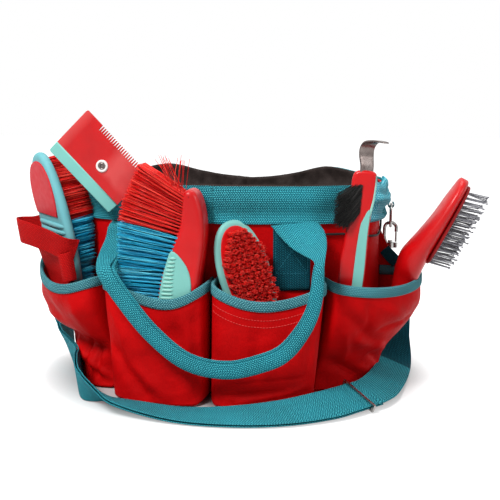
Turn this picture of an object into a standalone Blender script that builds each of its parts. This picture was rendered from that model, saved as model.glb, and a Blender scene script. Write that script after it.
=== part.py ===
"""Grooming bag: an oval fabric tote with bellows pockets, handles, a shoulder strap and six stowed tools.

Metres, +Z up, front of the bag toward -Y, origin at the middle of the flat underside.
"""
import math

import bmesh
import bpy
from mathutils import Matrix, Vector

# Overall sizes
BODY_HALF_LENGTH = 0.165
BODY_HALF_DEPTH = 0.098
BODY_HEIGHT = 0.2165
BODY_ROUNDING = 2.6
BODY_WALL = 0.0025
GAP = 0.0003

# Rim, lining and base
WEBBING_WIDTH = 0.038
WEBBING_THICKNESS = 0.0016
RIM_TOP = BODY_HEIGHT + 0.0015
LINING_WALL = 0.0012
BASE_BOARD_THICKNESS = 0.003

# Pockets
POCKET_DEPTH = 0.047
POCKET_WALL = 0.0014
POCKET_FLOOR = 0.0070
POCKET_OFF_WALL = 0.0006
POCKET_SQUARENESS = 5.0
POCKET_MOUTH = 0.124
POCKET_SAG = 0.014
BACK_POCKET_DEPTH = 0.032
END_POCKET_FOOT = 0.007
SEAM_X = 0.003
FRONT_POCKET_EDGE = 0.112
END_POCKET_END_Y = -0.006
BINDING_HEIGHT = 0.009
BINDING_THICKNESS = 0.0008

# Handles
HANDLE_HINGE_Z = RIM_TOP - WEBBING_WIDTH - 0.0020
HANDLE_HINGE_Y = BODY_HALF_DEPTH - 0.0025
HANDLE_ROLL_WIDTH = 0.018
HANDLE_ROLL_THICKNESS = 0.009
HANDLE_LEFT_X = -0.1075
HANDLE_RIGHT_X = 0.091
HANDLE_DROP = 0.142
HANDLE_BACK_DROP = 0.010
HANDLE_CLEAR = 0.0104
HANDLE_OUTER_FOLD_OUT = 0.0059
HANDLE_INNER_FOLD_OUT = 0.0043
FLAP_SHIFT = 0.0070
FLAP_OUT = 0.0046

# Rings, snap hooks and shoulder strap
RING_Y = 0.024
RING_WIRE = 0.0016
RING_HALF_WIDTH = 0.0125
RING_HALF_HEIGHT = 0.012
RING_TOP_Z = RIM_TOP - 0.0295
RING_OUT = 0.0112
TAB_HALF_WIDTH = 0.0070
HOOK_WIRE = 0.0020
HOOK_HALF_WIDTH = 0.0065
EYE_HALF_WIDTH = WEBBING_WIDTH / 2 + 0.0023
EYE_WIRE = 0.0015
LAYER_PITCH = WEBBING_THICKNESS + 0.0010
SLIDER_STATION = 17
STRAP_END_CLEAR = 0.0030
STRAP_FRONT_CLEAR = 0.0119

# Tools
DANDY_BACK_CLEAR = 0.0050
DANDY_FRONT_CLEAR = 0.0082
DANDY_HALF_WIDTH = (POCKET_DEPTH - 2 * POCKET_WALL - DANDY_BACK_CLEAR - DANDY_FRONT_CLEAR) / 2
TOOL_PLANE = -(BODY_HALF_DEPTH + POCKET_OFF_WALL + POCKET_WALL)
DANDY_Y = TOOL_PLANE - DANDY_BACK_CLEAR - DANDY_HALF_WIDTH
DANDY_SHIFT = -0.0075
COMB_LENGTH = 0.087
COMB_WIDTH = 0.055
COMB_THICKNESS = 0.003
COMB_TEETH = 30
BODY_BRUSH_LENGTH = 0.165
BODY_BRUSH_WIDTH = 0.074
BODY_BRUSH_BACK = 0.010
BODY_BRUSH_BRISTLES = 0.024
BODY_BRUSH_FLARE = 0.19
FACE_BRUSH_HALF_LENGTH = 0.057
FACE_BRUSH_HALF_WIDTH = 0.028
PICK_WIDTH = 0.019
PIN_LENGTH = 0.022
FACE_BRUSH_BACK = 0.0085
BODY_BRUSH_OUT = 0.0369
PICK_OUT = 0.0261
PIN_BRUSH_OUT = 0.0530
COMB_OUT = 0.0040
COMB_RISE = 0.0350

# Colours
RED_FABRIC = (0.62, 0.02, 0.025, 1.0)
TEAL = (0.02, 0.26, 0.34, 1.0)
DARK_LINING = (0.03, 0.022, 0.02, 1.0)
MINT = (0.30, 0.68, 0.62, 1.0)
RED_PLASTIC = (0.72, 0.025, 0.03, 1.0)
RED_BRISTLE = (0.75, 0.02, 0.02, 1.0)
BLUE_BRISTLE = (0.02, 0.36, 0.55, 1.0)
BLACK = (0.015, 0.015, 0.015, 1.0)
STEEL = (0.55, 0.55, 0.56, 1.0)


def clear_scene():
    for obj in list(bpy.data.objects):
        bpy.data.objects.remove(obj, do_unlink=True)
    for mesh in list(bpy.data.meshes):
        bpy.data.meshes.remove(mesh)
    for material in list(bpy.data.materials):
        bpy.data.materials.remove(material)


def material(name, colour, roughness, metallic=0.0):
    found = bpy.data.materials.get(name)
    if found:
        return found
    made = bpy.data.materials.new(name)
    made.use_nodes = True
    shader = made.node_tree.nodes["Principled BSDF"]
    shader.inputs["Base Color"].default_value = colour
    shader.inputs["Roughness"].default_value = roughness
    shader.inputs["Metallic"].default_value = metallic
    return made


def add_object(name, verts, faces, look, smooth=True):
    """Make one closed object with outward faces from points and face lists."""
    mesh = bpy.data.meshes.new(name)
    mesh.from_pydata([tuple(v) for v in verts], [], faces)
    work = bmesh.new()
    work.from_mesh(mesh)
    bmesh.ops.recalc_face_normals(work, faces=work.faces)
    if work.calc_volume(signed=True) < 0:
        bmesh.ops.reverse_faces(work, faces=work.faces)
    for face in work.faces:
        face.smooth = smooth
    for edge in work.edges:
        if len(edge.link_faces) == 2 and edge.calc_face_angle(0.0) > 0.7:
            edge.smooth = False
    work.to_mesh(mesh)
    work.free()
    mesh.materials.append(look)
    obj = bpy.data.objects.new(name, mesh)
    bpy.context.scene.collection.objects.link(obj)
    return obj


def loft(name, loops, look, closed=False, smooth=True):
    """Skin equal loops of points; open lofts get end caps, closed ones join end to start."""
    count = len(loops[0])
    verts = [p for loop in loops for p in loop]
    faces = []
    spans = len(loops) if closed else len(loops) - 1
    for i in range(spans):
        a = i * count
        b = ((i + 1) % len(loops)) * count
        for j in range(count):
            k = (j + 1) % count
            faces.append((a + j, a + k, b + k, b + j))
    if not closed:
        faces.append(tuple(range(count)))
        faces.append(tuple(range((len(loops) - 1) * count, len(loops) * count)))
    return add_object(name, verts, faces, look, smooth)


def place(obj, matrix):
    obj.data.transform(matrix)
    obj.data.update()
    return obj


def union(base, *others):
    """Fuse other solids into the base one."""
    for other in others:
        step = base.modifiers.new("fuse", "BOOLEAN")
        step.operation = "UNION"
        step.solver = "EXACT"
        step.object = other
        bpy.context.view_layer.update()
        graph = bpy.context.evaluated_depsgraph_get()
        fused = bpy.data.meshes.new_from_object(base.evaluated_get(graph))
        base.modifiers.clear()
        base.data = fused
        bpy.data.objects.remove(other, do_unlink=True)
    return base


def cut(base, other):
    """Subtract one solid from the base and drop the cutter."""
    step = base.modifiers.new("cut", "BOOLEAN")
    step.operation = "DIFFERENCE"
    step.solver = "EXACT"
    step.object = other
    bpy.context.view_layer.update()
    graph = bpy.context.evaluated_depsgraph_get()
    made = bpy.data.meshes.new_from_object(base.evaluated_get(graph))
    base.modifiers.clear()
    base.data = made
    bpy.data.objects.remove(other, do_unlink=True)


def smooth_path(points, steps):
    """Catmull-Rom curve through stations of any length of number lists."""
    out = []
    size = len(points[0])
    last = len(points) - 1
    for i in range(last):
        p0 = points[max(i - 1, 0)]
        p1 = points[i]
        p2 = points[i + 1]
        p3 = points[min(i + 2, last)]
        for k in range(steps):
            t = k / steps
            row = []
            for c in range(size):
                a = 2 * p1[c]
                b = (p2[c] - p0[c]) * t
                d = (2 * p0[c] - 5 * p1[c] + 4 * p2[c] - p3[c]) * t * t
                e = (3 * p1[c] - p0[c] - 3 * p2[c] + p3[c]) * t ** 3
                row.append(0.5 * (a + b + d + e))
            out.append(row)
    out.append(list(points[last]))
    return out


def rounded_section(half_w, half_t):
    """Eight-sided flat section, wide along u and thin along v."""
    c = min(half_w, half_t) * 0.6
    return [(-half_w, -half_t + c), (-half_w + c, -half_t), (half_w - c, -half_t), (half_w, -half_t + c),
            (half_w, half_t - c), (half_w - c, half_t), (-half_w + c, half_t), (-half_w, half_t - c)]


def strip(name, stations, look, steps=4, offset=0.0):
    """Sweep a band; each station is x, y, z, width direction x, y, z, width, thickness."""
    rows = smooth_path(stations, steps)
    loops = []
    for i, row in enumerate(rows):
        here = Vector(row[:3])
        before = Vector(rows[max(i - 1, 0)][:3])
        after = Vector(rows[min(i + 1, len(rows) - 1)][:3])
        along = (after - before).normalized()
        across = Vector(row[3:6])
        across = (across - along * across.dot(along)).normalized()
        up = along.cross(across).normalized()
        here = here + up * offset
        section = rounded_section(row[6] / 2, row[7] / 2)
        loops.append([here + across * u + up * v for u, v in section])
    return loft(name, loops, look)


def wire_ring(name, path, radius, look, sides=8, normal=Vector((1, 0, 0))):
    """Round wire along a closed flat path."""
    loops = []
    count = len(path)
    for i, p in enumerate(path):
        along = (path[(i + 1) % count] - path[i - 1]).normalized()
        side = along.cross(normal).normalized()
        loop = []
        for k in range(sides):
            a = 2 * math.pi * k / sides
            loop.append(p + side * math.cos(a) * radius + normal * math.sin(a) * radius)
        loops.append(loop)
    return loft(name, loops, look, closed=True)


def wire(name, path, radius, look, sides=8, normal=Vector((0, 1, 0))):
    """Round wire along an open flat path."""
    loops = []
    last = len(path) - 1
    for i, p in enumerate(path):
        along = (path[min(i + 1, last)] - path[max(i - 1, 0)]).normalized()
        side = along.cross(normal).normalized()
        loop = []
        for k in range(sides):
            a = 2 * math.pi * k / sides
            loop.append(p + side * math.cos(a) * radius + normal * math.sin(a) * radius)
        loops.append(loop)
    return loft(name, loops, look)


def cylinder(name, start, end, radius, look, sides=16):
    start = Vector(start)
    end = Vector(end)
    along = (end - start).normalized()
    side = along.orthogonal().normalized()
    other = along.cross(side)
    loops = []
    for p in (start, end):
        loops.append([p + (side * math.cos(a) + other * math.sin(a)) * radius
                      for a in [2 * math.pi * k / sides for k in range(sides)]])
    return loft(name, loops, look)


def slab(name, outline, low, high, look, chamfer=0.0, smooth=True):
    """Extrude an outline given as x, z pairs from y = low to y = high, with small chamfers."""
    cx = sum(p[0] for p in outline) / len(outline)
    cz = sum(p[1] for p in outline) / len(outline)
    reach = max(math.hypot(p[0] - cx, p[1] - cz) for p in outline)
    shrink = 1.0 - chamfer / reach
    small = [(cx + (x - cx) * shrink, cz + (z - cz) * shrink) for x, z in outline]
    loops = []
    if chamfer > 0:
        loops.append([Vector((x, low, z)) for x, z in small])
        loops.append([Vector((x, low + chamfer, z)) for x, z in outline])
        loops.append([Vector((x, high - chamfer, z)) for x, z in outline])
        loops.append([Vector((x, high, z)) for x, z in small])
    else:
        loops.append([Vector((x, low, z)) for x, z in outline])
        loops.append([Vector((x, high, z)) for x, z in outline])
    return loft(name, loops, look, smooth=smooth)


# The oval wall

def wall_point(angle, out=0.0):
    """Point and outward normal of the body's outer face; angle 0 is the front middle, growing toward +X."""
    c = math.cos(angle - math.pi / 2)
    s = math.sin(angle - math.pi / 2)
    power = 2.0 / BODY_ROUNDING
    x = BODY_HALF_LENGTH * math.copysign(abs(c) ** power, c)
    y = BODY_HALF_DEPTH * math.copysign(abs(s) ** power, s)
    grow = BODY_ROUNDING - 1
    nx = math.copysign((abs(x) / BODY_HALF_LENGTH) ** grow / BODY_HALF_LENGTH, x)
    ny = math.copysign((abs(y) / BODY_HALF_DEPTH) ** grow / BODY_HALF_DEPTH, y)
    length = math.hypot(nx, ny)
    nx = nx / length
    ny = ny / length
    return x + nx * out, y + ny * out, nx, ny


def wall_table(count=1440):
    """Running length along the wall from the front middle."""
    rows = []
    run = 0.0
    last = wall_point(0.0)
    for i in range(count + 1):
        here = wall_point(2 * math.pi * i / count)
        run += math.hypot(here[0] - last[0], here[1] - last[1])
        rows.append((run, here[0], here[1], here[2], here[3]))
        last = here
    return rows


WALL = wall_table()
WALL_LENGTH = WALL[-1][0]


def wall_at(run):
    """Wall point and normal at a running length; negative runs go toward -X."""
    run = run % WALL_LENGTH
    low = 0
    high = len(WALL) - 1
    while high - low > 1:
        mid = (low + high) // 2
        if WALL[mid][0] > run:
            high = mid
        else:
            low = mid
    a = WALL[low]
    b = WALL[high]
    t = (run - a[0]) / max(b[0] - a[0], 1e-9)
    x = a[1] + (b[1] - a[1]) * t
    y = a[2] + (b[2] - a[2]) * t
    nx = a[3] + (b[3] - a[3]) * t
    ny = a[4] + (b[4] - a[4]) * t
    length = math.hypot(nx, ny)
    return x, y, nx / length, ny / length


def run_at_x(x):
    """Running length of the front wall at an x position."""
    for row in WALL:
        if row[1] >= abs(x):
            return math.copysign(row[0], x)
    return 0.0


def run_at_end_y(y):
    """Running length of the right end wall at a y position."""
    for row in WALL:
        if row[2] >= y and row[1] > 0:
            return row[0]
    return 0.0


def wall_y(x):
    """Distance of the front wall from the bag's middle plane at an x position."""
    share = min(1.0, abs(x) / BODY_HALF_LENGTH)
    return BODY_HALF_DEPTH * (1.0 - share ** BODY_ROUNDING) ** (1.0 / BODY_ROUNDING)


def wall_x(y):
    """Distance of the end wall from the bag's middle plane at a y position."""
    share = min(1.0, abs(y) / BODY_HALF_DEPTH)
    return BODY_HALF_LENGTH * (1.0 - share ** BODY_ROUNDING) ** (1.0 / BODY_ROUNDING)


def wall_loop(out, height, count=80, wave=0.0):
    loop = []
    for i in range(count):
        x, y, nx, ny = wall_at(WALL_LENGTH * i / count)
        lift = wave * rim_wave(x, y)
        loop.append(Vector((x + nx * out, y + ny * out, height + lift)))
    return loop


def rim_wave(x, y):
    """How far the soft back edge of the rim dips or rises."""
    back = max(0.0, y / BODY_HALF_DEPTH)
    dip = -0.008 * math.exp(-((x - 0.01) / 0.055) ** 2)
    rise = 0.003 * math.exp(-((x - 0.105) / 0.03) ** 2) + 0.003 * math.exp(-((x + 0.1) / 0.035) ** 2)
    return back * (dip + rise)


def tub(name, outs, ins, look):
    """Open-topped solid from outer loops going up and inner loops coming down."""
    return loft(name, outs + ins, look)


def body_shell():
    """Fabric tub: outer wall and underside."""
    outs = [wall_loop(-0.004, 0.0), wall_loop(0.0, 0.004), wall_loop(0.0, BODY_HEIGHT / 2),
            wall_loop(0.0, BODY_HEIGHT, wave=1)]
    ins = [wall_loop(-BODY_WALL, BODY_HEIGHT, wave=1), wall_loop(-BODY_WALL, BODY_HEIGHT / 2),
           wall_loop(-BODY_WALL, BODY_WALL)]
    return tub("body_shell", outs, ins, material("red_fabric", RED_FABRIC, 0.8))


def lining():
    """Dark inner skin, standing just clear of the outer wall and a little above it."""
    far = -BODY_WALL - GAP
    near = far - LINING_WALL
    low = BODY_WALL + GAP
    top = RIM_TOP + 0.0012
    outs = [wall_loop(far, low), wall_loop(far, BODY_HEIGHT / 2), wall_loop(far, top, wave=1)]
    ins = [wall_loop(near, top, wave=1), wall_loop(near, BODY_HEIGHT / 2),
           wall_loop(near, low + LINING_WALL)]
    return tub("lining", outs, ins, material("dark_lining", DARK_LINING, 0.75))


def base_board():
    """Stiff board lying on the lining's floor."""
    low = BODY_WALL + GAP + LINING_WALL + GAP
    out = -BODY_WALL - GAP - LINING_WALL - 0.002
    loops = [wall_loop(out, low, 64), wall_loop(out, low + BASE_BOARD_THICKNESS, 64)]
    return loft("base_board", loops, material("board", (0.04, 0.035, 0.03, 1.0), 0.85))


def rim_band():
    """Webbing band sewn round the outside of the rim."""
    near = GAP
    far = GAP + WEBBING_THICKNESS
    low = RIM_TOP - WEBBING_WIDTH
    loops = [wall_loop(far, low, wave=1), wall_loop(far, RIM_TOP, wave=1), wall_loop(near, RIM_TOP, wave=1),
             wall_loop(near, low, wave=1)]
    return loft("rim_band", loops, material("teal_webbing", TEAL, 0.7), closed=True)


# Pockets

POCKETS = {
    "front_left": (-run_at_x(FRONT_POCKET_EDGE), SEAM_X - 0.002, POCKET_DEPTH, POCKET_DEPTH * 0.97),
    "front_right": (SEAM_X + 0.002, run_at_x(FRONT_POCKET_EDGE), POCKET_DEPTH, POCKET_DEPTH * 0.97),
    "end_right": (run_at_x(FRONT_POCKET_EDGE) + 0.006, run_at_end_y(END_POCKET_END_Y), POCKET_DEPTH,
                  END_POCKET_FOOT),
    "end_left": (-run_at_end_y(END_POCKET_END_Y), -run_at_x(FRONT_POCKET_EDGE) - 0.006, POCKET_DEPTH,
                 END_POCKET_FOOT),
    "back_right": (WALL_LENGTH / 2 - run_at_x(FRONT_POCKET_EDGE), WALL_LENGTH / 2 - 0.003, BACK_POCKET_DEPTH,
                   BACK_POCKET_DEPTH * 0.9),
    "back_left": (WALL_LENGTH / 2 + 0.003, WALL_LENGTH / 2 + run_at_x(FRONT_POCKET_EDGE), BACK_POCKET_DEPTH,
                  BACK_POCKET_DEPTH * 0.9),
}
POCKET_STEPS = 20


def pocket_profile(u):
    """Depth share across the pocket, from 0 at a side seam to 1 in the middle."""
    return max(0.0, 1.0 - abs(2 * u - 1) ** POCKET_SQUARENESS) ** (1 / POCKET_SQUARENESS)


def spread(i, count):
    """Positions bunched toward the two side seams."""
    return 0.5 - 0.5 * math.cos(math.pi * i / count)


def pocket_depth(pocket, height):
    """Depth of the pouch at a height: full at the mouth, smaller at the foot."""
    start, end, mouth, foot = POCKETS[pocket]
    t = min(1.0, max(0.0, (height - 0.015) / 0.085))
    t = t * t * (3 - 2 * t)
    return foot + (mouth - foot) * t


def pocket_curve(pocket, height, inner=False, count=POCKET_STEPS):
    """Front panel of a pouch in plan at one height, as x, y pairs."""
    start, end, mouth, foot = POCKETS[pocket]
    depth = pocket_depth(pocket, height)
    width = end - start
    margin = 0.0017 if inner else 0.0
    base = POCKET_OFF_WALL + (POCKET_WALL if inner else 0.0)
    reach = depth - (2 * POCKET_WALL if inner else 0.0)
    points = []
    for i in range(count + 1):
        u = spread(i, count)
        x, y, nx, ny = wall_at(start + margin + (width - 2 * margin) * u)
        out = base + reach * pocket_profile(u)
        points.append((x + nx * out, y + ny * out))
    return points


def pocket_back(pocket, inner=False, count=8):
    """Back panel of a pouch in plan, from its end seam to its start seam."""
    start, end, mouth, foot = POCKETS[pocket]
    width = end - start
    margin = 0.0017 if inner else 0.0
    base = POCKET_OFF_WALL + (POCKET_WALL if inner else 0.0)
    points = []
    for i in range(1, count):
        x, y, nx, ny = wall_at(end - margin - (width - 2 * margin) * i / count)
        points.append((x + nx * base, y + ny * base))
    return points


def mouth_height(pocket, u):
    """Height of the pouch's upper edge across its width: it sags in the middle."""
    return POCKET_MOUTH - POCKET_SAG * math.sin(math.pi * u) ** 1.2


def pouch_loop(pocket, height, inner, rim=False):
    front = pocket_curve(pocket, height if not rim else POCKET_MOUTH - 0.01, inner)
    back = pocket_back(pocket, inner)
    loop = []
    for i, (x, y) in enumerate(front):
        z = mouth_height(pocket, spread(i, POCKET_STEPS)) if rim else height
        loop.append(Vector((x, y, z)))
    for x, y in back:
        loop.append(Vector((x, y, POCKET_MOUTH if rim else height)))
    return loop


def pouch(pocket):
    """Bellows pouch with its own back panel, floor and open mouth."""
    low = POCKET_FLOOR
    outs = [pouch_loop(pocket, z, False) for z in (low, 0.03, 0.055, 0.08, 0.10)]
    outs.append(pouch_loop(pocket, 0, False, rim=True))
    ins = [pouch_loop(pocket, 0, True, rim=True)]
    ins += [pouch_loop(pocket, z, True) for z in (0.10, 0.08, 0.055, 0.03, low + POCKET_WALL)]
    return tub("pocket_" + pocket, outs, ins, material("red_fabric", RED_FABRIC, 0.8))


def offset_curve(points, distance):
    """Shift a plan curve sideways; a positive distance goes outward from the body."""
    out = []
    last = len(points) - 1
    for i, p in enumerate(points):
        a = points[max(i - 1, 0)]
        b = points[min(i + 1, last)]
        dx = b[0] - a[0]
        dy = b[1] - a[1]
        length = math.hypot(dx, dy)
        out.append((p[0] + dy / length * distance, p[1] - dx / length * distance))
    return out


def binding(pocket):
    """Webbing tape folded over the pouch's front edge."""
    level = POCKET_MOUTH - 0.01
    outer = pocket_curve(pocket, level)
    inner = pocket_curve(pocket, level, inner=True)
    near_out = offset_curve(outer, GAP)
    far_out = offset_curve(outer, GAP + BINDING_THICKNESS)
    near_in = offset_curve(inner, -GAP)
    far_in = offset_curve(inner, -GAP - BINDING_THICKNESS)
    loops = []
    for i in range(2, POCKET_STEPS - 1):
        top = mouth_height(pocket, spread(i, POCKET_STEPS))
        low = top - BINDING_HEIGHT
        high = top + GAP + BINDING_THICKNESS
        cover = top + GAP
        rows = [(far_out[i], low), (far_out[i], high), (far_in[i], high), (far_in[i], low),
                (near_in[i], low), (near_in[i], cover), (near_out[i], cover), (near_out[i], low)]
        loops.append([Vector((p[0], p[1], z)) for p, z in rows])
    return loft("binding_" + pocket, loops, material("teal_tape", TEAL, 0.7))


# Handles

def anchor(name, x, side):
    """Webbing sewn flat on the wall under the rim, where a handle leg starts."""
    centre = run_at_x(x)
    start = centre - WEBBING_WIDTH / 2
    near = GAP
    far = GAP + WEBBING_THICKNESS
    loops = []
    for i in range(7):
        run = start + WEBBING_WIDTH * i / 6
        if side > 0:
            run = WALL_LENGTH / 2 - run
        x0, y0, nx, ny = wall_at(run)
        low = POCKET_MOUTH + 0.002
        high = RIM_TOP - WEBBING_WIDTH - HANDLE_BACK_DROP * (side > 0) - 0.0006
        rows = [(near, low), (far, low), (far, high), (near, high)]
        loops.append([Vector((x0 + nx * out, y0 + ny * out, z)) for out, z in rows])
    return loft(name, loops, material("teal_webbing", TEAL, 0.7))


def grip_reach():
    """How far in front of the bag's middle the rolled grip hangs."""
    return BODY_HALF_DEPTH + POCKET_OFF_WALL + POCKET_DEPTH + HANDLE_ROLL_THICKNESS / 2 + HANDLE_CLEAR


def grip_stations():
    """The rolled grip between the two folds, hanging in front of the pockets."""
    low = HANDLE_HINGE_Z - HANDLE_DROP
    middle = (HANDLE_LEFT_X + HANDLE_RIGHT_X) / 2
    half = (HANDLE_RIGHT_X - HANDLE_LEFT_X) / 2
    shape = [(-0.909, 0.0025, 0.634, 1, 0.4), (-0.753, 0, 0.479, 0.9, 0.6), (-0.471, 0, 0.239, 0.6, 0.75),
             (-0.118, 0, 0.049, 0.35, 0.9), (0.285, 0, 0, 0, 1), (0.667, 0, 0.070, -0.4, 0.9),
             (0.940, 0, 0.260, -0.8, 0.5), (1.066, 0.0010, 0.479, -1, 0.2)]
    rows = []
    for across, in_by, up, wx, wz in shape:
        rows.append((middle + across * half, in_by - grip_reach(), low + up * HANDLE_DROP, wx, 0, wz,
                     HANDLE_ROLL_WIDTH, HANDLE_ROLL_THICKNESS))
    return rows


def steep_fold(x, fold_out, sense):
    """Flat leg dropping along the wall from its fold, then swelling out over the pocket."""
    roll = HANDLE_ROLL_WIDTH
    side = math.copysign(1, x)
    z = HANDLE_HINGE_Z
    swell = grip_reach() - HANDLE_HINGE_Y
    over = POCKET_MOUTH + 0.0190
    shape = [(0.0005, 0.023, z - 0.0040, 0.0026, 0), (0.0015, 0.092, z - 0.0160, 0.0030, 0),
             (0.0020, 0.377, over + 0.0075, 0.0050, 0), (0.0005, 0.715, over, 0.0080, 0.1)]
    rows = [(x, -wall_y(x) - fold_out, z, sense, 0, 0, roll, 0.0024)]
    for out, share, height, thick, tilt in shape:
        rows.append((x + side * out, -HANDLE_HINGE_Y - share * swell, height, sense, 0, tilt, roll, thick))
    return rows


def front_handle():
    """Carry handle as it hangs: flat at the folds, rolled in the grip, its right fold opened out."""
    x = HANDLE_RIGHT_X - FLAP_SHIFT
    w = WEBBING_WIDTH
    z = HANDLE_HINGE_Z
    swell = grip_reach() - HANDLE_HINGE_Y
    rows = steep_fold(HANDLE_LEFT_X, HANDLE_OUTER_FOLD_OUT, 1) + grip_stations()
    neck = (HANDLE_RIGHT_X + 0.0095, -HANDLE_HINGE_Y - 0.869 * swell, POCKET_MOUTH + 0.0110)
    rows += [
        (neck[0], neck[1], neck[2], -1, 0, -0.25, HANDLE_ROLL_WIDTH, 0.0066),
        (x + 0.0150, -HANDLE_HINGE_Y - 0.500 * swell, z - 0.0270, -0.9, 0, -0.45, 0.74 * w, 0.0040),
        (x + 0.0080, -HANDLE_HINGE_Y - 0.240 * swell, z - 0.0180, -0.95, -0.08, -0.28, 0.96 * w, 0.0026),
        (x + 0.0030, -HANDLE_HINGE_Y - 0.110 * swell, z - 0.0115, -1, -0.16, -0.10, w, 0.0024),
        (x, -wall_y(x) - FLAP_OUT, z - 0.0065, -0.98, -0.2, 0, w, 0.0024),
    ]
    return strip("front_handle", rows, material("teal_webbing", TEAL, 0.7), steps=3)


def back_handle():
    """The matching handle on the far side, hanging over the shallower back pockets."""
    left = steep_fold(-HANDLE_RIGHT_X, HANDLE_INNER_FOLD_OUT, 1)
    right = steep_fold(HANDLE_RIGHT_X, HANDLE_INNER_FOLD_OUT, -1)
    front = left + grip_stations() + right[::-1]
    rows = []
    for x, y, z, wx, wy, wz, width, thick in front:
        lower = HANDLE_BACK_DROP if z > HANDLE_HINGE_Z - 0.55 * HANDLE_DROP else 0.0
        rows.append((x, -y, z - lower, wx, wy, wz, width, thick))
    return strip("back_handle", rows, material("teal_webbing", TEAL, 0.7), steps=3)


# Rings, hooks and strap

def bar_x():
    """Distance of the ring's bar from the bag's middle."""
    return BODY_HALF_LENGTH + RING_OUT


def ring_loop(name, side):
    """Short webbing tab sewn on the rim band and folded round the ring's bar."""
    half = 0.0006
    base = wall_x(RING_Y - TAB_HALF_WIDTH) + WEBBING_THICKNESS + 2.5 * GAP + half
    turn = RING_WIRE + GAP + 0.0012
    rows = [(base, RIM_TOP - 0.004), (base, RING_TOP_Z + 0.016), (base + 0.002, RING_TOP_Z + 0.011),
            (bar_x() - turn - 0.0022, RING_TOP_Z + 0.0055)]
    for k in range(9):
        a = math.radians(155 + k * 262 / 8)
        rows.append((bar_x() + turn * math.cos(a), RING_TOP_Z + turn * math.sin(a)))
    loops = []
    last = len(rows) - 1
    for i, (x, z) in enumerate(rows):
        a = rows[max(i - 1, 0)]
        b = rows[min(i + 1, last)]
        dx = b[0] - a[0]
        dz = b[1] - a[1]
        length = math.hypot(dx, dz)
        ox = dz / length * half
        oz = -dx / length * half
        loops.append([Vector((side * (x + ox), RING_Y - TAB_HALF_WIDTH, z + oz)),
                      Vector((side * (x - ox), RING_Y - TAB_HALF_WIDTH, z - oz)),
                      Vector((side * (x - ox), RING_Y + TAB_HALF_WIDTH, z - oz)),
                      Vector((side * (x + ox), RING_Y + TAB_HALF_WIDTH, z + oz))])
    return loft(name, loops, material("teal_tape", TEAL, 0.7), smooth=False)


def ring(name, side):
    """Oval wire ring hanging by its upper bar."""
    x = side * bar_x()
    centre = RING_TOP_Z - RING_HALF_HEIGHT
    path = []
    for k in range(32):
        a = 2 * math.pi * k / 32
        c = math.cos(a)
        s = math.sin(a)
        y = RING_HALF_WIDTH * math.copysign(abs(c) ** 0.55, c)
        z = RING_HALF_HEIGHT * math.copysign(abs(s) ** 0.4, s)
        path.append(Vector((x, RING_Y + y, centre + z)))
    return wire_ring(name, path, RING_WIRE, material("steel", STEEL, 0.3, 1.0))


def hook_base():
    """Height of the snap hook's collar foot, hung on the ring's lower wire."""
    return RING_TOP_Z - 2 * RING_HALF_HEIGHT - 0.0246


def snap_hook(name, side):
    """Bent wire hook with a bored collar for the swivel."""
    x = side * bar_x()
    z = hook_base()
    look = material("steel", STEEL, 0.3, 1.0)
    path = [Vector((x - side * 0.0046, RING_Y, z + 0.003)), Vector((x - side * 0.0058, RING_Y, z + 0.0085))]
    for height in (0.013, 0.018):
        path.append(Vector((x - side * HOOK_HALF_WIDTH, RING_Y, z + height)))
    for k in range(9):
        a = math.radians(180 - k * 22.5)
        path.append(Vector((x + side * HOOK_HALF_WIDTH * math.cos(a), RING_Y,
                            z + 0.022 + HOOK_HALF_WIDTH * math.sin(a))))
    path.append(Vector((x + side * HOOK_HALF_WIDTH, RING_Y, z + 0.0180)))
    hook = wire(name, path, HOOK_WIRE, look)
    lug_x = x + side * 0.0060
    lug = cylinder("lug", (lug_x, RING_Y, z + 0.0002), (lug_x, RING_Y, z + 0.0058), 0.0024, look, 12)
    outer = []
    inner = []
    for k in range(20):
        a = 2 * math.pi * k / 20
        outer.append((math.cos(a) * 0.0046, math.sin(a) * 0.0046))
        inner.append((math.cos(a) * 0.0022, math.sin(a) * 0.0022))
    loops = []
    for points, height in ((outer, 0.0), (outer, 0.006), (inner, 0.006), (inner, 0.0)):
        loops.append([Vector((x + px, RING_Y + py, z + height)) for px, py in points])
    collar = loft("collar", loops, look, closed=True)
    return union(hook, collar, lug)


def hook_gate(name, side):
    """Sprung bar closing the hook's mouth, turning about its foot."""
    x = side * bar_x()
    z = hook_base()
    look = material("steel", STEEL, 0.3, 1.0)
    foot = Vector((x + side * 0.0062, RING_Y, z + 0.0067))
    tip = Vector((x + side * 0.0064, RING_Y, z + 0.0175))
    gate = cylinder(name, foot, tip, 0.0013, look, 12)
    return gate


def swivel_eye(name, side):
    """Wide eye for the webbing, with a headed stem turning in the hook's collar."""
    x = side * bar_x()
    z = hook_base()
    look = material("steel", STEEL, 0.3, 1.0)
    top = z - 0.0024
    low = top - 0.0102
    path = []
    corner = 0.003
    reach = EYE_HALF_WIDTH - corner
    for cy, cz, start in ((reach, top - corner, 0), (-reach, top - corner, 90), (-reach, low + corner, 180),
                          (reach, low + corner, 270)):
        for k in range(4):
            a = math.radians(start + k * 30)
            path.append(Vector((x, RING_Y + cy + corner * math.cos(a), cz + corner * math.sin(a))))
    eye = wire_ring(name, path, EYE_WIRE, look)
    stem = cylinder("stem", (x, RING_Y, top), (x, RING_Y, z + 0.007), 0.0016, look, 12)
    head = cylinder("head", (x, RING_Y, z + 0.0064), (x, RING_Y, z + 0.0084), 0.0027, look, 12)
    return union(eye, stem, head)


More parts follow.
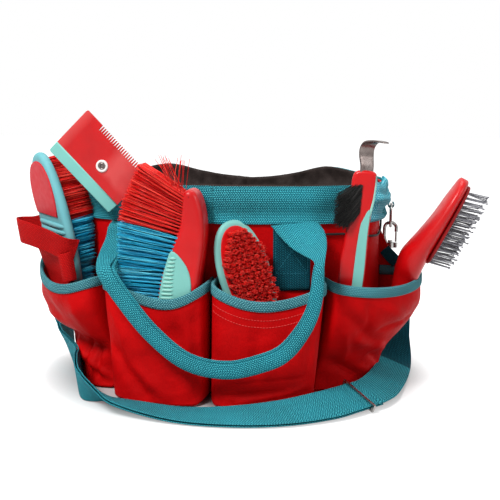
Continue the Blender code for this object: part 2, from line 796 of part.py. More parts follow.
def strap_run():
    """Stations of the shoulder strap from the left hook round the front of the bag to the right hook."""
    w = WEBBING_WIDTH
    t = WEBBING_THICKNESS
    x = bar_x()
    low = hook_base() - 0.0126
    end = BODY_HALF_LENGTH + END_POCKET_FOOT + w / 2 + STRAP_END_CLEAR
    front = BODY_HALF_DEPTH + POCKET_OFF_WALL + POCKET_DEPTH + w / 2 + STRAP_FRONT_CLEAR
    floor = [(-0.9433, -0.170, 0.0225, 0.22, 0.25, -0.94), (-0.8067, -0.3994, 0.0197, 0.18, 0.17, -0.97),
             (-0.7680, -0.578, 0.0190, 0.33, 0.25, -0.91), (-0.6933, -0.779, 0.0158, 0.45, 0.53, -0.72),
             (-0.4124, -0.9150, 0.0080, 0.40, 0.92, -0.17),
             (-0.1289, -0.9802, 0.0048, 0.16, 1, -0.02), (0.1546, -1.0, 0.0068, -0.08, 1, 0.14),
             (0.4124, -0.9518, 0.0100, -0.42, 0.9, 0.28), (0.6134, -0.8442, 0.0130, -0.62, 0.72, 0.38)]
    for k in range(5):
        floor.append((0.7067 + 0.03068 * k, -0.7564 + 0.03825 * k, 0.0142, -0.70, 0.68, 0.38))
    floor += [(0.8960, -0.4800, 0.0125, -0.82, 0.54, 0.30), (0.9730, -0.2520, 0.0066, -1, 0.2, 0.12)]
    rows = [
        (-x - 0.0012, RING_Y, low - 0.0045, 0, 1, 0, w, t),
        (-x - 0.010, RING_Y, low - 0.016, 0, 1, 0, w, t),
        (-x - 0.0218, RING_Y - 0.002, 0.69 * low, 0, 1, 0, w, t),
        (-x - 0.0293, RING_Y - 0.009, 0.455 * low, 0.1, 1, -0.05, w, t),
        (-x - 0.0228, RING_Y - 0.020, 0.283 * low, 0.15, 0.85, -0.55, w, t),
        (-x - 0.0158, RING_Y - 0.036, 0.222 * low, 0.19, 0.58, -0.79, w, t),
    ]
    for sx, sy, z, wx, wy, wz in floor:
        rows.append((sx * end, sy * front, z, wx, wy, wz, w, t))
    rows += [
        (end - 0.0018, RING_Y - 0.030, 0.0042, -1, 0.04, 0, w, t),
        (end - 0.0050, RING_Y + 0.0025, 0.0095, -1, 0, 0, w, t),
        (x + 0.0060, RING_Y + 0.019, 0.267 * low, -1, 0.02, 0, w, t),
        (x + 0.0072, RING_Y + 0.017, 0.518 * low, -0.9, -0.42, 0, w, t),
        (x + 0.0090, RING_Y + 0.009, 0.738 * low, -0.45, -0.9, 0, w, t),
        (x + 0.0042, RING_Y + 0.001, low - 0.013, 0, -1, 0, w, t),
        (x + 0.0012, RING_Y, low - 0.0045, 0, -1, 0, w, t),
    ]
    return rows


def shoulder_strap():
    return strip("shoulder_strap", strap_run(), material("teal_webbing", TEAL, 0.7), steps=4)


def strap_fold(name, side):
    """End of the strap folded round the eye's lower bar and sewn back on itself."""
    x = side * bar_x()
    z = hook_base() - 0.0126
    half = WEBBING_WIDTH / 2
    turn = EYE_WIRE + GAP + 0.0010
    rows = []
    for k in range(13):
        a = math.radians(-62 + k * 304 / 12)
        rows.append((turn * math.cos(a), turn * math.sin(a)))
    loops = []
    last = len(rows) - 1
    for i, (px, pz) in enumerate(rows):
        a = rows[max(i - 1, 0)]
        b = rows[min(i + 1, last)]
        dx = b[0] - a[0]
        dz = b[1] - a[1]
        length = math.hypot(dx, dz)
        ox = dz / length * 0.0007
        oz = -dx / length * 0.0007
        outer = (x + px + ox, z + pz + oz)
        inner = (x + px - ox, z + pz - oz)
        corners = ((outer, -half), (inner, -half), (inner, half), (outer, half))
        loops.append([Vector((point[0], RING_Y + across, point[1])) for point, across in corners])
    return loft(name, loops, material("teal_webbing", TEAL, 0.7), smooth=False)


def strap_return():
    """Second layer of the strap, running back from the left hook to the slider."""
    rows = strap_run()[1:20]
    made = []
    for x, y, z, wx, wy, wz, w, t in rows:
        made.append((x, y, z, wx, wy, wz, w, t))
    return strip("strap_return", made, material("teal_webbing", TEAL, 0.7), steps=4, offset=-LAYER_PITCH)


def slider_frame():
    """Place and directions of the slide on the strap: across, along and up."""
    rows = smooth_path(strap_run(), 4)
    i = SLIDER_STATION * 4
    here = Vector(rows[i][:3])
    along = (Vector(rows[i + 1][:3]) - Vector(rows[i - 1][:3])).normalized()
    across = Vector(rows[i][3:6])
    across = (across - along * across.dot(along)).normalized()
    up = along.cross(across)
    return Matrix(((-across.x, along.x, up.x, here.x), (-across.y, along.y, up.y, here.y),
                   (-across.z, along.z, up.z, here.z), (0, 0, 0, 1)))


def strap_slider():
    """Two-slot slide standing across both layers of the strap."""
    half = 0.0012
    slot = WEBBING_WIDTH / 2 + 0.0010
    skin = WEBBING_THICKNESS / 2
    xs = [-slot - 0.0026, -slot, slot, slot + 0.0026]
    zs = [-LAYER_PITCH - skin - 0.0017, -LAYER_PITCH - skin - 0.0004, -LAYER_PITCH + skin + 0.0003,
          -skin - 0.0003, skin + 0.0004, skin + 0.0024]
    verts = [Vector((x, y, z)) for y in (-half, half) for z in zs for x in xs]
    per = len(xs) * len(zs)
    faces = []

    def at(side, row, col):
        return side * per + row * 4 + col

    for row in range(5):
        for col in range(3):
            if col == 1 and row in (1, 3):
                continue
            faces.append((at(0, row, col), at(0, row, col + 1),
                          at(0, row + 1, col + 1), at(0, row + 1, col)))
            faces.append((at(1, row, col), at(1, row + 1, col),
                          at(1, row + 1, col + 1), at(1, row, col + 1)))
    for row in range(5):
        for col in (0, 3):
            faces.append((at(0, row, col), at(0, row + 1, col), at(1, row + 1, col), at(1, row, col)))
    for col in range(3):
        for row in (0, 5):
            faces.append((at(0, row, col), at(1, row, col), at(1, row, col + 1), at(0, row, col + 1)))
    for row in (1, 3):
        faces.append((at(0, row, 1), at(1, row, 1), at(1, row, 2), at(0, row, 2)))
        faces.append((at(0, row + 1, 1), at(0, row + 1, 2), at(1, row + 1, 2), at(1, row + 1, 1)))
        faces.append((at(0, row, 1), at(0, row + 1, 1), at(1, row + 1, 1), at(1, row, 1)))
        faces.append((at(0, row, 2), at(1, row, 2), at(1, row + 1, 2), at(0, row + 1, 2)))
    plate = add_object("strap_slider", verts, faces, material("steel", STEEL, 0.3, 1.0), smooth=False)
    return place(plate, slider_frame())


# Stowed tools

def dandy_shape(points):
    """Shift an outline of the dandy brush to its place in the front left pocket."""
    return [(x + DANDY_SHIFT, z) for x, z in points]


def dandy_brush():
    """Long stiff brush standing on end, bristles toward the bag's left."""
    back = [(-0.0150, 0.2195), (-0.0105, 0.2190), (-0.0050, 0.2140), (-0.0015, 0.2000), (-0.0002, 0.1700),
            (0.0000, 0.1200), (0.0000, 0.0400), (-0.0040, 0.0240), (-0.0150, 0.0160), (-0.0260, 0.0200),
            (-0.0320, 0.0300), (-0.0440, 0.0560), (-0.0470, 0.0800), (-0.0450, 0.1050), (-0.0400, 0.1320),
            (-0.0310, 0.1600), (-0.0290, 0.1850), (-0.0270, 0.2060), (-0.0210, 0.2160)]
    y0 = DANDY_Y - DANDY_HALF_WIDTH
    y1 = DANDY_Y + DANDY_HALF_WIDTH
    slab("dandy_back", dandy_shape(back), y0, y1, material("red_plastic", RED_PLASTIC, 0.35), 0.005)
    insert = [(-0.0265, 0.1640), (-0.0180, 0.1560), (-0.0110, 0.1400), (-0.0090, 0.1200), (-0.0120, 0.0980),
              (-0.0200, 0.0860), (-0.0330, 0.0820), (-0.0430, 0.0900), (-0.0425, 0.1060), (-0.0375, 0.1300),
              (-0.0315, 0.1500)]
    slab("dandy_grip", dandy_shape(insert), y0 - GAP - 0.0016, y0 - GAP, material("mint_rubber", MINT, 0.6),
               0.0006)
    y0 += 0.001
    y1 -= 0.001
    blue = [(-0.0475, 0.0800), (-0.0455, 0.1055), (-0.0405, 0.1325), (-0.0315, 0.1602), (-0.0303, 0.1720),
            (-0.0560, 0.1790), (-0.0830, 0.1860), (-0.0845, 0.1500), (-0.0845, 0.1000), (-0.0830, 0.0500),
            (-0.0800, 0.0300), (-0.0500, 0.0280), (-0.0330, 0.0300), (-0.0445, 0.0560)]
    red = [(-0.0302, 0.1724), (-0.0295, 0.1850), (-0.0275, 0.2062), (-0.0215, 0.2166), (-0.0400, 0.2290),
           (-0.0620, 0.2415), (-0.0700, 0.2280), (-0.0800, 0.2080), (-0.0830, 0.1864), (-0.0560, 0.1794)]
    blue_look = material("blue_bristle", BLUE_BRISTLE, 0.6)
    red_look = material("red_bristle", RED_BRISTLE, 0.6)
    slab("dandy_bristles_blue", dandy_shape(blue), y0, y1, blue_look, 0.002)
    slab("dandy_bristles_red", dandy_shape(red), y0, y1, red_look, 0.002)


def comb_frame():
    """Comb frame: x along the grip strip, z toward the teeth, y through the plate."""
    corner = Vector((-0.1700, TOOL_PLANE - COMB_OUT, RIM_TOP + COMB_RISE))
    along = Vector((0.0600, 0, -0.0620)).normalized()
    across = Vector((-along.z, 0, along.x))
    return Matrix(((along.x, 0, across.x, corner.x), (0, 1, 0, corner.y), (along.z, 0, across.z, corner.z),
                   (0, 0, 0, 1)))


def mane_comb():
    """Toothed plate with a soft strip along its back edge and a metal eyelet."""
    frame = comb_frame()
    strip_width = 0.0125
    half = COMB_THICKNESS / 2
    low = strip_width + GAP
    outline = [(0.0, low), (COMB_LENGTH, low), (COMB_LENGTH, COMB_WIDTH)]
    start = 0.030
    pitch = (COMB_LENGTH - 0.002 - start) / COMB_TEETH
    for k in range(COMB_TEETH):
        x = COMB_LENGTH - 0.001 - pitch * k
        outline += [(x - 0.3 * pitch, COMB_WIDTH), (x - 0.42 * pitch, COMB_WIDTH - 0.0032),
                    (x - 0.78 * pitch, COMB_WIDTH - 0.0032), (x - 0.9 * pitch, COMB_WIDTH)]
    outline += [(start - 0.002, COMB_WIDTH), (0.0, COMB_WIDTH)]
    look = material("red_clear_plastic", RED_PLASTIC, 0.15)
    plate = slab("comb_plate", outline, -half * 0.7, half * 0.7, look, smooth=False)
    hole = cylinder("hole", (0.040, -0.01, 0.0265), (0.040, 0.01, 0.0265), 0.0034, look, 20)
    cut(plate, hole)
    place(plate, frame)
    grip = [(0.0, 0.0), (COMB_LENGTH, 0.0), (COMB_LENGTH, strip_width), (0.0, strip_width)]
    place(slab("comb_grip", grip, -half, half, material("mint_rubber", MINT, 0.6), 0.0008), frame)
    loops = []
    skin = half * 0.7 + GAP
    for radius, depth in ((0.0031, -skin), (0.0031, skin), (0.0058, skin), (0.0058, half), (0.0020, half),
                          (0.0020, -half - 0.0004), (0.0058, -half - 0.0004), (0.0058, -skin)):
        loops.append([Vector((0.040 + radius * math.cos(a), depth, 0.0265 + radius * math.sin(a)))
                      for a in [2 * math.pi * k / 20 for k in range(20)]])
    place(loft("comb_eyelet", loops, material("steel", STEEL, 0.3, 1.0), closed=True), frame)


def oval(half_x, half_z, count=28, power=2.2):
    points = []
    for k in range(count):
        a = 2 * math.pi * k / count
        c = math.cos(a)
        s = math.sin(a)
        points.append((half_x * math.copysign(abs(c) ** (2 / power), c),
                       half_z * math.copysign(abs(s) ** (2 / power), s)))
    return points


def tool_frame(origin, up, face):
    """Frame whose z runs along the tool and whose -y looks the way its back faces."""
    z = Vector(up).normalized()
    y = -Vector(face)
    y = (y - z * y.dot(z)).normalized()
    x = y.cross(z)
    return Matrix(((x.x, y.x, z.x, origin[0]), (x.y, y.y, z.y, origin[1]), (x.z, y.z, z.z, origin[2]),
                   (0, 0, 0, 1)))


BODY_BRUSH_UP = (-0.215, 0.0, 0.976)


def in_end_pocket(pocket, share, out, height):
    """Place in an end pocket: a share of its width counted from the front, a distance out, and a height."""
    start, end, mouth, foot = POCKETS[pocket]
    side = 1 if start > 0 else -1
    near = min(abs(start), abs(end))
    far = max(abs(start), abs(end))
    x, y, nx, ny = wall_at(side * (near + (far - near) * share))
    return (x + nx * out, y + ny * out, height), (nx, ny, 0.0)


def body_brush_frame():
    centre, face = in_end_pocket("end_left", 0.5, BODY_BRUSH_OUT, POCKET_MOUTH + 0.0430)
    return tool_frame(centre, BODY_BRUSH_UP, face)


def body_brush():
    """Oval brush standing in the left end pocket, back outward, with a hand strap."""
    frame = body_brush_frame()
    half_z = BODY_BRUSH_LENGTH / 2
    half_x = BODY_BRUSH_WIDTH / 2
    mint = material("mint_rubber", MINT, 0.6)
    place(slab("brush_back", oval(half_x, half_z), 0.0, BODY_BRUSH_BACK, mint, 0.003), frame)
    inlay = oval(half_x - 0.012, 0.028)
    inlay = [(x, z + 0.038) for x, z in inlay]
    red_look = material("red_plastic", RED_PLASTIC, 0.35)
    place(slab("brush_inlay", inlay, -GAP - 0.0016, -GAP, red_look, 0.0006), frame)
    shape = oval(half_x - 0.004, half_z - 0.005)
    split = 0.004
    upper = [(x, z) for x, z in shape if z > split + 0.004]
    lower = [(x, z) for x, z in shape if z < split - 0.004]
    edge = half_x - 0.0042
    upper = [(edge, split + 0.00015)] + upper + [(-edge, split + 0.00015)]
    lower = [(-edge, split - 0.00015)] + lower + [(edge, split - 0.00015)]
    near = BODY_BRUSH_BACK + GAP
    far = near + BODY_BRUSH_BRISTLES
    red_bristle = material("red_bristle", RED_BRISTLE, 0.6)
    blue_bristle = material("blue_bristle", BLUE_BRISTLE, 0.6)
    red = slab("brush_bristles_red", upper, near, far, red_bristle, 0.0015)
    blue = slab("brush_bristles_blue", lower, near, far, blue_bristle, 0.0015)
    for field in (red, blue):
        for vert in field.data.vertices:
            if vert.co.y > near + 0.005:
                vert.co.y += BODY_BRUSH_FLARE * vert.co.z
        place(field, frame)


def hand_strap():
    """Red webbing looped round the brush's back from edge to edge."""
    frame = body_brush_frame()
    w = 0.024
    t = 0.0018
    edge = BODY_BRUSH_WIDTH / 2 + 0.0014
    rows = [
        (-edge, 0.0065, 0.0110, 0, 0, 1, w, t),
        (-edge, -0.0060, 0.0120, 0, 0, 1, w, t),
        (-0.0345, -0.0215, 0.0125, 0.1, 0, 1, w, t),
        (-0.0180, -0.0325, 0.0080, 0.25, 0, 1, w, t),
        (0.0040, -0.0290, -0.0030, 0.40, 0, 1, w, t),
        (0.0215, -0.0165, -0.0150, 0.40, 0, 1, w, t),
        (edge - 0.0040, -0.0055, -0.0240, 0.25, 0, 1, w, t),
        (edge - 0.0012, 0.0050, -0.0280, 0.1, 0, 1, w, t),
    ]
    return place(strip("brush_hand_strap", rows, material("red_webbing", RED_FABRIC, 0.8), steps=3), frame)


def face_brush():
    """Small oval brush facing forward in the front right pocket."""
    near = TOOL_PLANE - GAP - FACE_BRUSH_BACK
    frame = tool_frame((0.0430, near, POCKET_MOUTH + 0.0110), (-0.40, 0, 0.917), (0, 1, 0))
    mint = material("mint_rubber", MINT, 0.6)
    back = oval(FACE_BRUSH_HALF_WIDTH, FACE_BRUSH_HALF_LENGTH)
    place(slab("face_brush_back", back, -FACE_BRUSH_BACK, 0.0, mint, 0.002), frame)
    tufts = oval(FACE_BRUSH_HALF_WIDTH - 0.0045, FACE_BRUSH_HALF_LENGTH - 0.0045)
    bristle = material("red_bristle", RED_BRISTLE, 0.6)
    place(slab("face_brush_tufts", tufts, GAP, 0.0195, bristle, 0.002), frame)


def hoof_pick():
    """Steel hook and small black brush on a two-colour handle, in the right end pocket."""
    up = Vector((0.085, 0.0, 0.996)).normalized()
    place_at, normal = in_end_pocket("end_right", 0.1486, PICK_OUT, POCKET_MOUTH + 0.0260)
    frame = tool_frame(place_at, up, (0, -1, 0))
    half = PICK_WIDTH / 2
    skin = half * 0.55
    body = [(-0.0050, -0.080), (0.0050, -0.080), (0.0085, -0.060), (0.0075, 0.000), (0.0085, 0.040),
            (0.0110, 0.060), (0.0110, 0.074), (0.0060, 0.081), (-0.0060, 0.081), (-0.0125, 0.072),
            (-0.0125, 0.056), (-0.0090, 0.040), (-0.0080, 0.000), (-0.0085, -0.060)]
    place(slab("pick_handle", body, -skin, skin, material("red_plastic", RED_PLASTIC, 0.35), 0.0025), frame)
    grip = [(-0.0045, -0.070), (0.0045, -0.070), (0.0055, -0.040), (0.0045, 0.000), (0.0055, 0.036),
            (0.0000, 0.046), (-0.0055, 0.036), (-0.0045, 0.000), (-0.0055, -0.040)]
    mint = material("mint_rubber", MINT, 0.6)
    place(slab("pick_grip", grip, -skin - GAP - 0.0014, -skin - GAP, mint, 0.0005), frame)
    bristles = [(-0.0129, 0.0725), (-0.0129, 0.0560), (-0.0092, 0.0400), (-0.0140, 0.0330),
                (-0.0240, 0.0400), (-0.0260, 0.0520), (-0.0240, 0.0650)]
    bristle = material("black_bristle", BLACK, 0.7)
    place(slab("pick_brush", bristles, -0.0040, 0.0040, bristle, 0.001), frame)
    rows = [
        (0.0004, 0, 0.0815, 0.8, 0.6, 0, 0.013, 0.0026),
        (0.0002, 0.0010, 0.0900, 0.8, 0.6, 0, 0.013, 0.0026),
        (0.0002, 0.0012, 0.0990, 0.8, 0.6, 0, 0.013, 0.0026),
        (0.0026, -0.0024, 0.1070, 0.8, 0.6, 0, 0.013, 0.0026),
        (0.0086, -0.0110, 0.1118, 0.8, 0.6, 0, 0.012, 0.0026),
        (0.0175, -0.0235, 0.1120, 0.8, 0.6, 0, 0.0095, 0.0024),
        (0.0250, -0.0335, 0.1102, 0.8, 0.6, 0, 0.0065, 0.0022),
    ]
    place(strip("pick_hook", rows, material("steel", STEEL, 0.3, 1.0), steps=3), frame)


def pin_brush():
    """Paddle brush leaning out of the right end pocket, pins toward the bag's right."""
    place_at, normal = in_end_pocket("end_right", 0.7074, PIN_BRUSH_OUT, POCKET_MOUTH + 0.0260)
    frame = tool_frame(place_at, (0.452, 0, 0.892), (-0.892, 0, 0.452))
    look = material("red_plastic", RED_PLASTIC, 0.35)
    shape = [(0.0, -0.1115, 0.0042, 0.0040), (0.0, -0.1055, 0.0068, 0.0055),
             (-0.0030, -0.060, 0.0080, 0.0065), (-0.0085, -0.036, 0.0095, 0.0085),
             (-0.0062, -0.024, 0.0170, 0.0135), (-0.0072, -0.010, 0.0210, 0.0142),
             (-0.0048, 0.010, 0.0260, 0.0118), (-0.0022, 0.035, 0.0275, 0.0092),
             (-0.0008, 0.060, 0.0260, 0.0078), (0.0, 0.078, 0.0210, 0.0066), (0.0, 0.088, 0.0130, 0.0056),
             (0.0, 0.092, 0.0060, 0.0040)]
    loops = []
    for cy, z, half_x, half_y in shape:
        loops.append([Vector((half_x * math.cos(a), cy + half_y * math.sin(a), z))
                      for a in [2 * math.pi * k / 16 for k in range(16)]])
    place(loft("pin_brush_body", loops, look), frame)
    place(pin_pad(), frame)


def pin_pad():
    """Cushion with a field of straight pins, one solid."""
    columns = 5
    rows = 12
    step_x = 0.0076
    step_z = 0.0072
    size = 0.0006
    base = 0.0070 + GAP
    face_y = base + 0.0020
    xs = [-0.0212]
    for c in range(columns):
        mid = (c - (columns - 1) / 2) * step_x
        xs += [mid - size, mid + size]
    xs.append(0.0212)
    zs = [-0.0100]
    for r in range(rows):
        mid = -0.0035 + r * step_z
        zs += [mid - size, mid + size]
    zs.append(0.0830)
    verts = []
    nx = len(xs)
    nz = len(zs)
    for yy in (base, face_y):
        for z in zs:
            narrow = 1.0 - 0.42 * abs((z - 0.036) / 0.05) ** 3
            for x in xs:
                verts.append(Vector((x * narrow, yy, z)))
    per = nx * nz
    faces = []
    for r in range(nz - 1):
        for c in range(nx - 1):
            a = r * nx + c
            faces.append((a, a + 1, a + nx + 1, a + nx))
            b = per + a
            if r % 2 == 1 and c % 2 == 1:
                start = len(verts)
                corners = (b, b + nx, b + nx + 1, b + 1)
                for k in corners:
                    verts.append(verts[k] + Vector((0, PIN_LENGTH - 0.0022, 0)))
                for k in range(4):
                    n = (k + 1) % 4
                    faces.append((corners[k], corners[n], start + n, start + k))
                faces.append((start, start + 1, start + 2, start + 3))
            else:
                faces.append((b, b + nx, b + nx + 1, b + 1))
    for r in range(nz - 1):
        for c in (0, nx - 1):
            a = r * nx + c
            faces.append((a, a + nx, per + a + nx, per + a))
    for c in range(nx - 1):
        for r in (0, nz - 1):
            a = r * nx + c
            faces.append((a, a + 1, per + a + 1, per + a))
    return add_object("pin_brush_pins", verts, faces, material("pin_steel", STEEL, 0.35, 1.0), smooth=False)


def main():
    clear_scene()
    body_shell()
    lining()
    base_board()
    rim_band()
    for pocket in POCKETS:
        pouch(pocket)
        binding(pocket)
    anchor("anchor_front_left", HANDLE_LEFT_X + 0.0075, -1)
    anchor("anchor_front_right", HANDLE_RIGHT_X - 0.0130, -1)
    anchor("anchor_back_left", 0.0080 - HANDLE_RIGHT_X, 1)
    anchor("anchor_back_right", HANDLE_RIGHT_X - 0.0130, 1)
    front_handle()
    back_handle()
    for word, side in (("left", -1), ("right", 1)):
        ring_loop("ring_loop_" + word, side)
        ring("ring_" + word, side)
        snap_hook("snap_hook_" + word, side)
        hook_gate("hook_gate_" + word, side)
        swivel_eye("swivel_eye_" + word, side)
        strap_fold("strap_fold_" + word, side)
    shoulder_strap()
    strap_return()
    strap_slider()
    dandy_brush()
    mane_comb()
    body_brush()
    hand_strap()
    face_brush()
    hoof_pick()
    pin_brush()


main()
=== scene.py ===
"""Looks of the grooming bag: woven cloth, webbing, stowed brushes, camera and light.

Metres, +Z up, front of the bag toward -Y, origin at the middle of the flat underside.
"""
import math

import bmesh
import bpy
import numpy as np
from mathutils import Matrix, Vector, noise
from mathutils.geometry import tessellate_polygon


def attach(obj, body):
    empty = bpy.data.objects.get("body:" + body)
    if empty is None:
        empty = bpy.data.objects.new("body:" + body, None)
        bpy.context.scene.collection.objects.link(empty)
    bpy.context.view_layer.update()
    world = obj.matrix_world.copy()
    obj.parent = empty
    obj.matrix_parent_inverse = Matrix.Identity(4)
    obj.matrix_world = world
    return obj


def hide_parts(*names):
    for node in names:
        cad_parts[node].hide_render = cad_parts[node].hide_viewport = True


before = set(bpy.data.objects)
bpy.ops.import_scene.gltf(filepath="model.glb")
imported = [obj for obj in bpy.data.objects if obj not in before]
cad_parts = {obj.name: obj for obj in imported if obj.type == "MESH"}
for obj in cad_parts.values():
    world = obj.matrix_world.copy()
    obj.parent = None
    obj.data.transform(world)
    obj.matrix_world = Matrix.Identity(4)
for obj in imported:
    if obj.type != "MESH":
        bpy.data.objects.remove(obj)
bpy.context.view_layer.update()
rng = np.random.default_rng(7)

# Sizes, as in the solids
HALF_LENGTH = 0.165
HALF_DEPTH = 0.098
ROUNDING = 2.6
RIM_TOP = 0.218
WEB_WIDTH = 0.038
WEB_THICK = 0.0016
POCKET_DEPTH = 0.047
POCKET_MOUTH = 0.124
POCKET_SAG = 0.014
POCKET_FLOOR = 0.007
HINGE_Z = 0.178
HINGE_Y = 0.0955
BAR_X = 0.1762
RING_Y = 0.024
EYE_LOW = 0.1273
LOOP_Z = 0.1885

# Cloth, and how far a sheet sewn to the wall stands off it
CLOTH_THICK = 0.0012
SEWN_OUT = 0.0004

# Camera and ground
CAMERA_TURN = math.radians(10)
CAMERA_HEIGHT = 0.305
CAMERA_AIM = Vector((0.021, 0, 0.137))
LENS_MM = 64.8
FLOOR_Z = -0.0004
FLOOR_HALF = 6.0


# Materials

def linear(*rgb):
    """Linear colour from 0-255 values."""
    shares = [c / 255 for c in rgb]
    return (*(c / 12.92 if c <= 0.04045 else ((c + 0.055) / 1.055) ** 2.4 for c in shares), 1.0)


def add_node(tree, kind, inputs=None, **settings):
    """A shader node; each input is a number, a colour, a node's socket or a Value."""
    node = tree.nodes.new("ShaderNode" + kind)
    for key, value in settings.items():
        setattr(node, key, value)
    for key, value in (inputs or {}).items():
        socket = value.socket if isinstance(value, Value) else value
        if isinstance(socket, bpy.types.NodeSocket):
            tree.links.new(socket, node.inputs[key])
        else:
            node.inputs[key].default_value = value
    return node


class Value:
    """A node's output; each sum, product or ramp of it adds one more node."""

    def __init__(self, tree, socket):
        self.tree = tree
        self.socket = socket

    def math(self, operation, *others):
        node = add_node(self.tree, "Math", dict(enumerate((self, *others))), operation=operation)
        return Value(self.tree, node.outputs[0])

    def __add__(self, other):
        return self.math("ADD", other)

    def __sub__(self, other):
        return self.math("SUBTRACT", other)

    def __mul__(self, other):
        return self.math("MULTIPLY", other)

    def ramp(self, low, high, out_low=0.0, out_high=1.0):
        node = add_node(self.tree, "MapRange", {0: self, 1: low, 2: high, 3: out_low, 4: out_high})
        return Value(self.tree, node.outputs[0])

    def wave(self, pitch, shift=0.0):
        """Sine from -1 to 1 along a length in metres."""
        return self.math("MULTIPLY_ADD", 2 * math.pi / pitch, shift).math("SINE")


class Look:
    """A principled material with helpers to wire its nodes."""

    def __init__(self, name, rough, metal=0.0, sheen=0.0, spec=0.5):
        self.material = bpy.data.materials.new(name)
        self.material.use_nodes = True
        self.tree = self.material.node_tree
        self.shader = self.tree.nodes["Principled BSDF"]
        self.fix({"Roughness": rough, "Metallic": metal, "Sheen Weight": sheen, "Specular IOR Level": spec})

    def fix(self, values):
        for name, value in values.items():
            self.shader.inputs[name].default_value = value

    def drive(self, name, value):
        self.tree.links.new(value.socket, self.shader.inputs[name])

    def parts(self, place):
        """The first two parts of a texture coordinate."""
        place = add_node(self.tree, "TexCoord").outputs[place]
        sockets = add_node(self.tree, "SeparateXYZ", {0: place}).outputs
        return Value(self.tree, sockets[0]), Value(self.tree, sockets[1])

    def mix(self, share, a, b):
        node = add_node(self.tree, "Mix", {0: share, 6: a, 7: b}, data_type="RGBA")
        return Value(self.tree, node.outputs[2])

    def noise(self, scale, detail=3.0, rough=0.5):
        place = add_node(self.tree, "TexCoord").outputs["Object"]
        inputs = {"Scale": scale, "Detail": detail, "Roughness": rough, "Vector": place}
        return Value(self.tree, add_node(self.tree, "TexNoise", inputs).outputs["Fac"])

    def bump(self, height, strength):
        node = add_node(self.tree, "Bump", {"Strength": strength, "Distance": 1.0, "Height": height})
        self.drive("Normal", Value(self.tree, node.outputs[0]))


YARN_PITCH = 0.00075


def cloth_look(name, dark, mid, light, sheen, rough):
    """Plain-woven polyester: fine yarns, a soft sheen, slight cloudiness and creasing."""
    look = Look(name, rough, sheen=sheen, spec=0.05)
    u, v = look.parts("UV")
    weave = u.wave(YARN_PITCH) * v.wave(YARN_PITCH)
    cloud = look.noise(28, 4)
    base = look.mix(cloud.ramp(0.3, 0.7), dark, mid)
    base = look.mix(weave.ramp(-1, 1, 0.0, 0.35), base, light)
    base = look.mix(look.noise(420, 2).ramp(0.55, 0.8, 0.0, 0.25), base, dark)
    look.drive("Base Color", base)
    look.drive("Roughness", cloud.ramp(0.2, 0.8, rough - 0.1, rough + 0.12))
    fold = (look.noise(26, 4, 0.55) - 0.5).math("ABSOLUTE")
    look.bump(weave * 0.00006 + look.noise(48, 5, 0.6) * 0.0018 + fold * 0.004, 0.6)
    look.fix({"Sheen Roughness": 0.35})
    return look.material


def webbing_look(name, dark, mid, light, chevron=0.0042, pitch=0.0024):
    """Herringbone webbing: bright slanting knuckles on a darker ground, turning in bands along it."""
    look = Look(name, 0.7, spec=0.12)
    u, v = look.parts("UV")
    wobble = look.noise(260, 2) * 0.0009
    zig = (v + wobble).math("PINGPONG", chevron)
    slant = (zig * 0.9 + (u + wobble)).wave(pitch)
    yarn = v.wave(0.0017)
    rib = u.wave(pitch * 0.5, 0.7)
    knuckle = (slant * 0.5 + 0.5) * (yarn * 0.5 + 0.5) + (rib * 0.5 + 0.5) * 0.18
    fuzz = look.noise(1100, 2)
    base = look.mix(look.noise(24, 4).ramp(0.3, 0.7), dark, mid)
    base = look.mix(knuckle.ramp(0.12, 0.85), base, light)
    base = look.mix(fuzz.ramp(0.5, 0.78, 0.0, 0.4), base, dark)
    look.drive("Base Color", base)
    look.drive("Roughness", knuckle.ramp(0, 1, 0.85, 0.55))
    look.bump(knuckle * 0.0005 + fuzz * 0.0003, 0.9)
    return look.material


def plastic_look(name, colour, shade, rough, coat=0.0, grain=0.00012):
    """Moulded plastic or rubber with faint mould grain, dust-dulled patches and rubbed spots."""
    look = Look(name, rough, spec=0.3)
    look.drive("Base Color", look.mix(look.noise(18, 4).ramp(0.35, 0.7), colour, shade))
    look.drive("Roughness", look.noise(160, 3).ramp(0.3, 0.75, rough - 0.06, rough + 0.12))
    look.bump(look.noise(900, 2) * grain, 0.6)
    look.fix({"Coat Weight": coat, "Coat Roughness": 0.12})
    return look.material


def metal_look(name, colour, shade, rough):
    """Plated steel with fine drawing lines, tarnish and small scratches."""
    look = Look(name, rough, metal=1.0)
    lines = look.noise(700, 2)
    look.drive("Base Color", look.mix(look.noise(90, 4).ramp(0.35, 0.75), colour, shade))
    look.drive("Roughness", lines.ramp(0.3, 0.7, rough - 0.07, rough + 0.12))
    look.bump(lines * 0.00008, 0.5)
    return look.material


def bristle_look(name, dark, mid, light, rough=0.4):
    """Synthetic filament: each strand's tone comes from its own u; the darkening toward its root is painted
    shade among the strands.
    """
    look = Look(name, rough, spec=0.25)
    u, v = look.parts("UV")
    base = look.mix(u.ramp(0.15, 0.55), dark, mid)
    base = look.mix(u.ramp(0.6, 1.0), base, light)
    # Painted shade: darker toward the root, where the strands shade each other.
    base = look.mix(v.ramp(0.0, 0.35, 0.55, 0.0), base, dark)
    look.drive("Base Color", base)
    look.drive("Roughness", u.ramp(0.0, 1.0, rough, rough + 0.15))
    return look.material


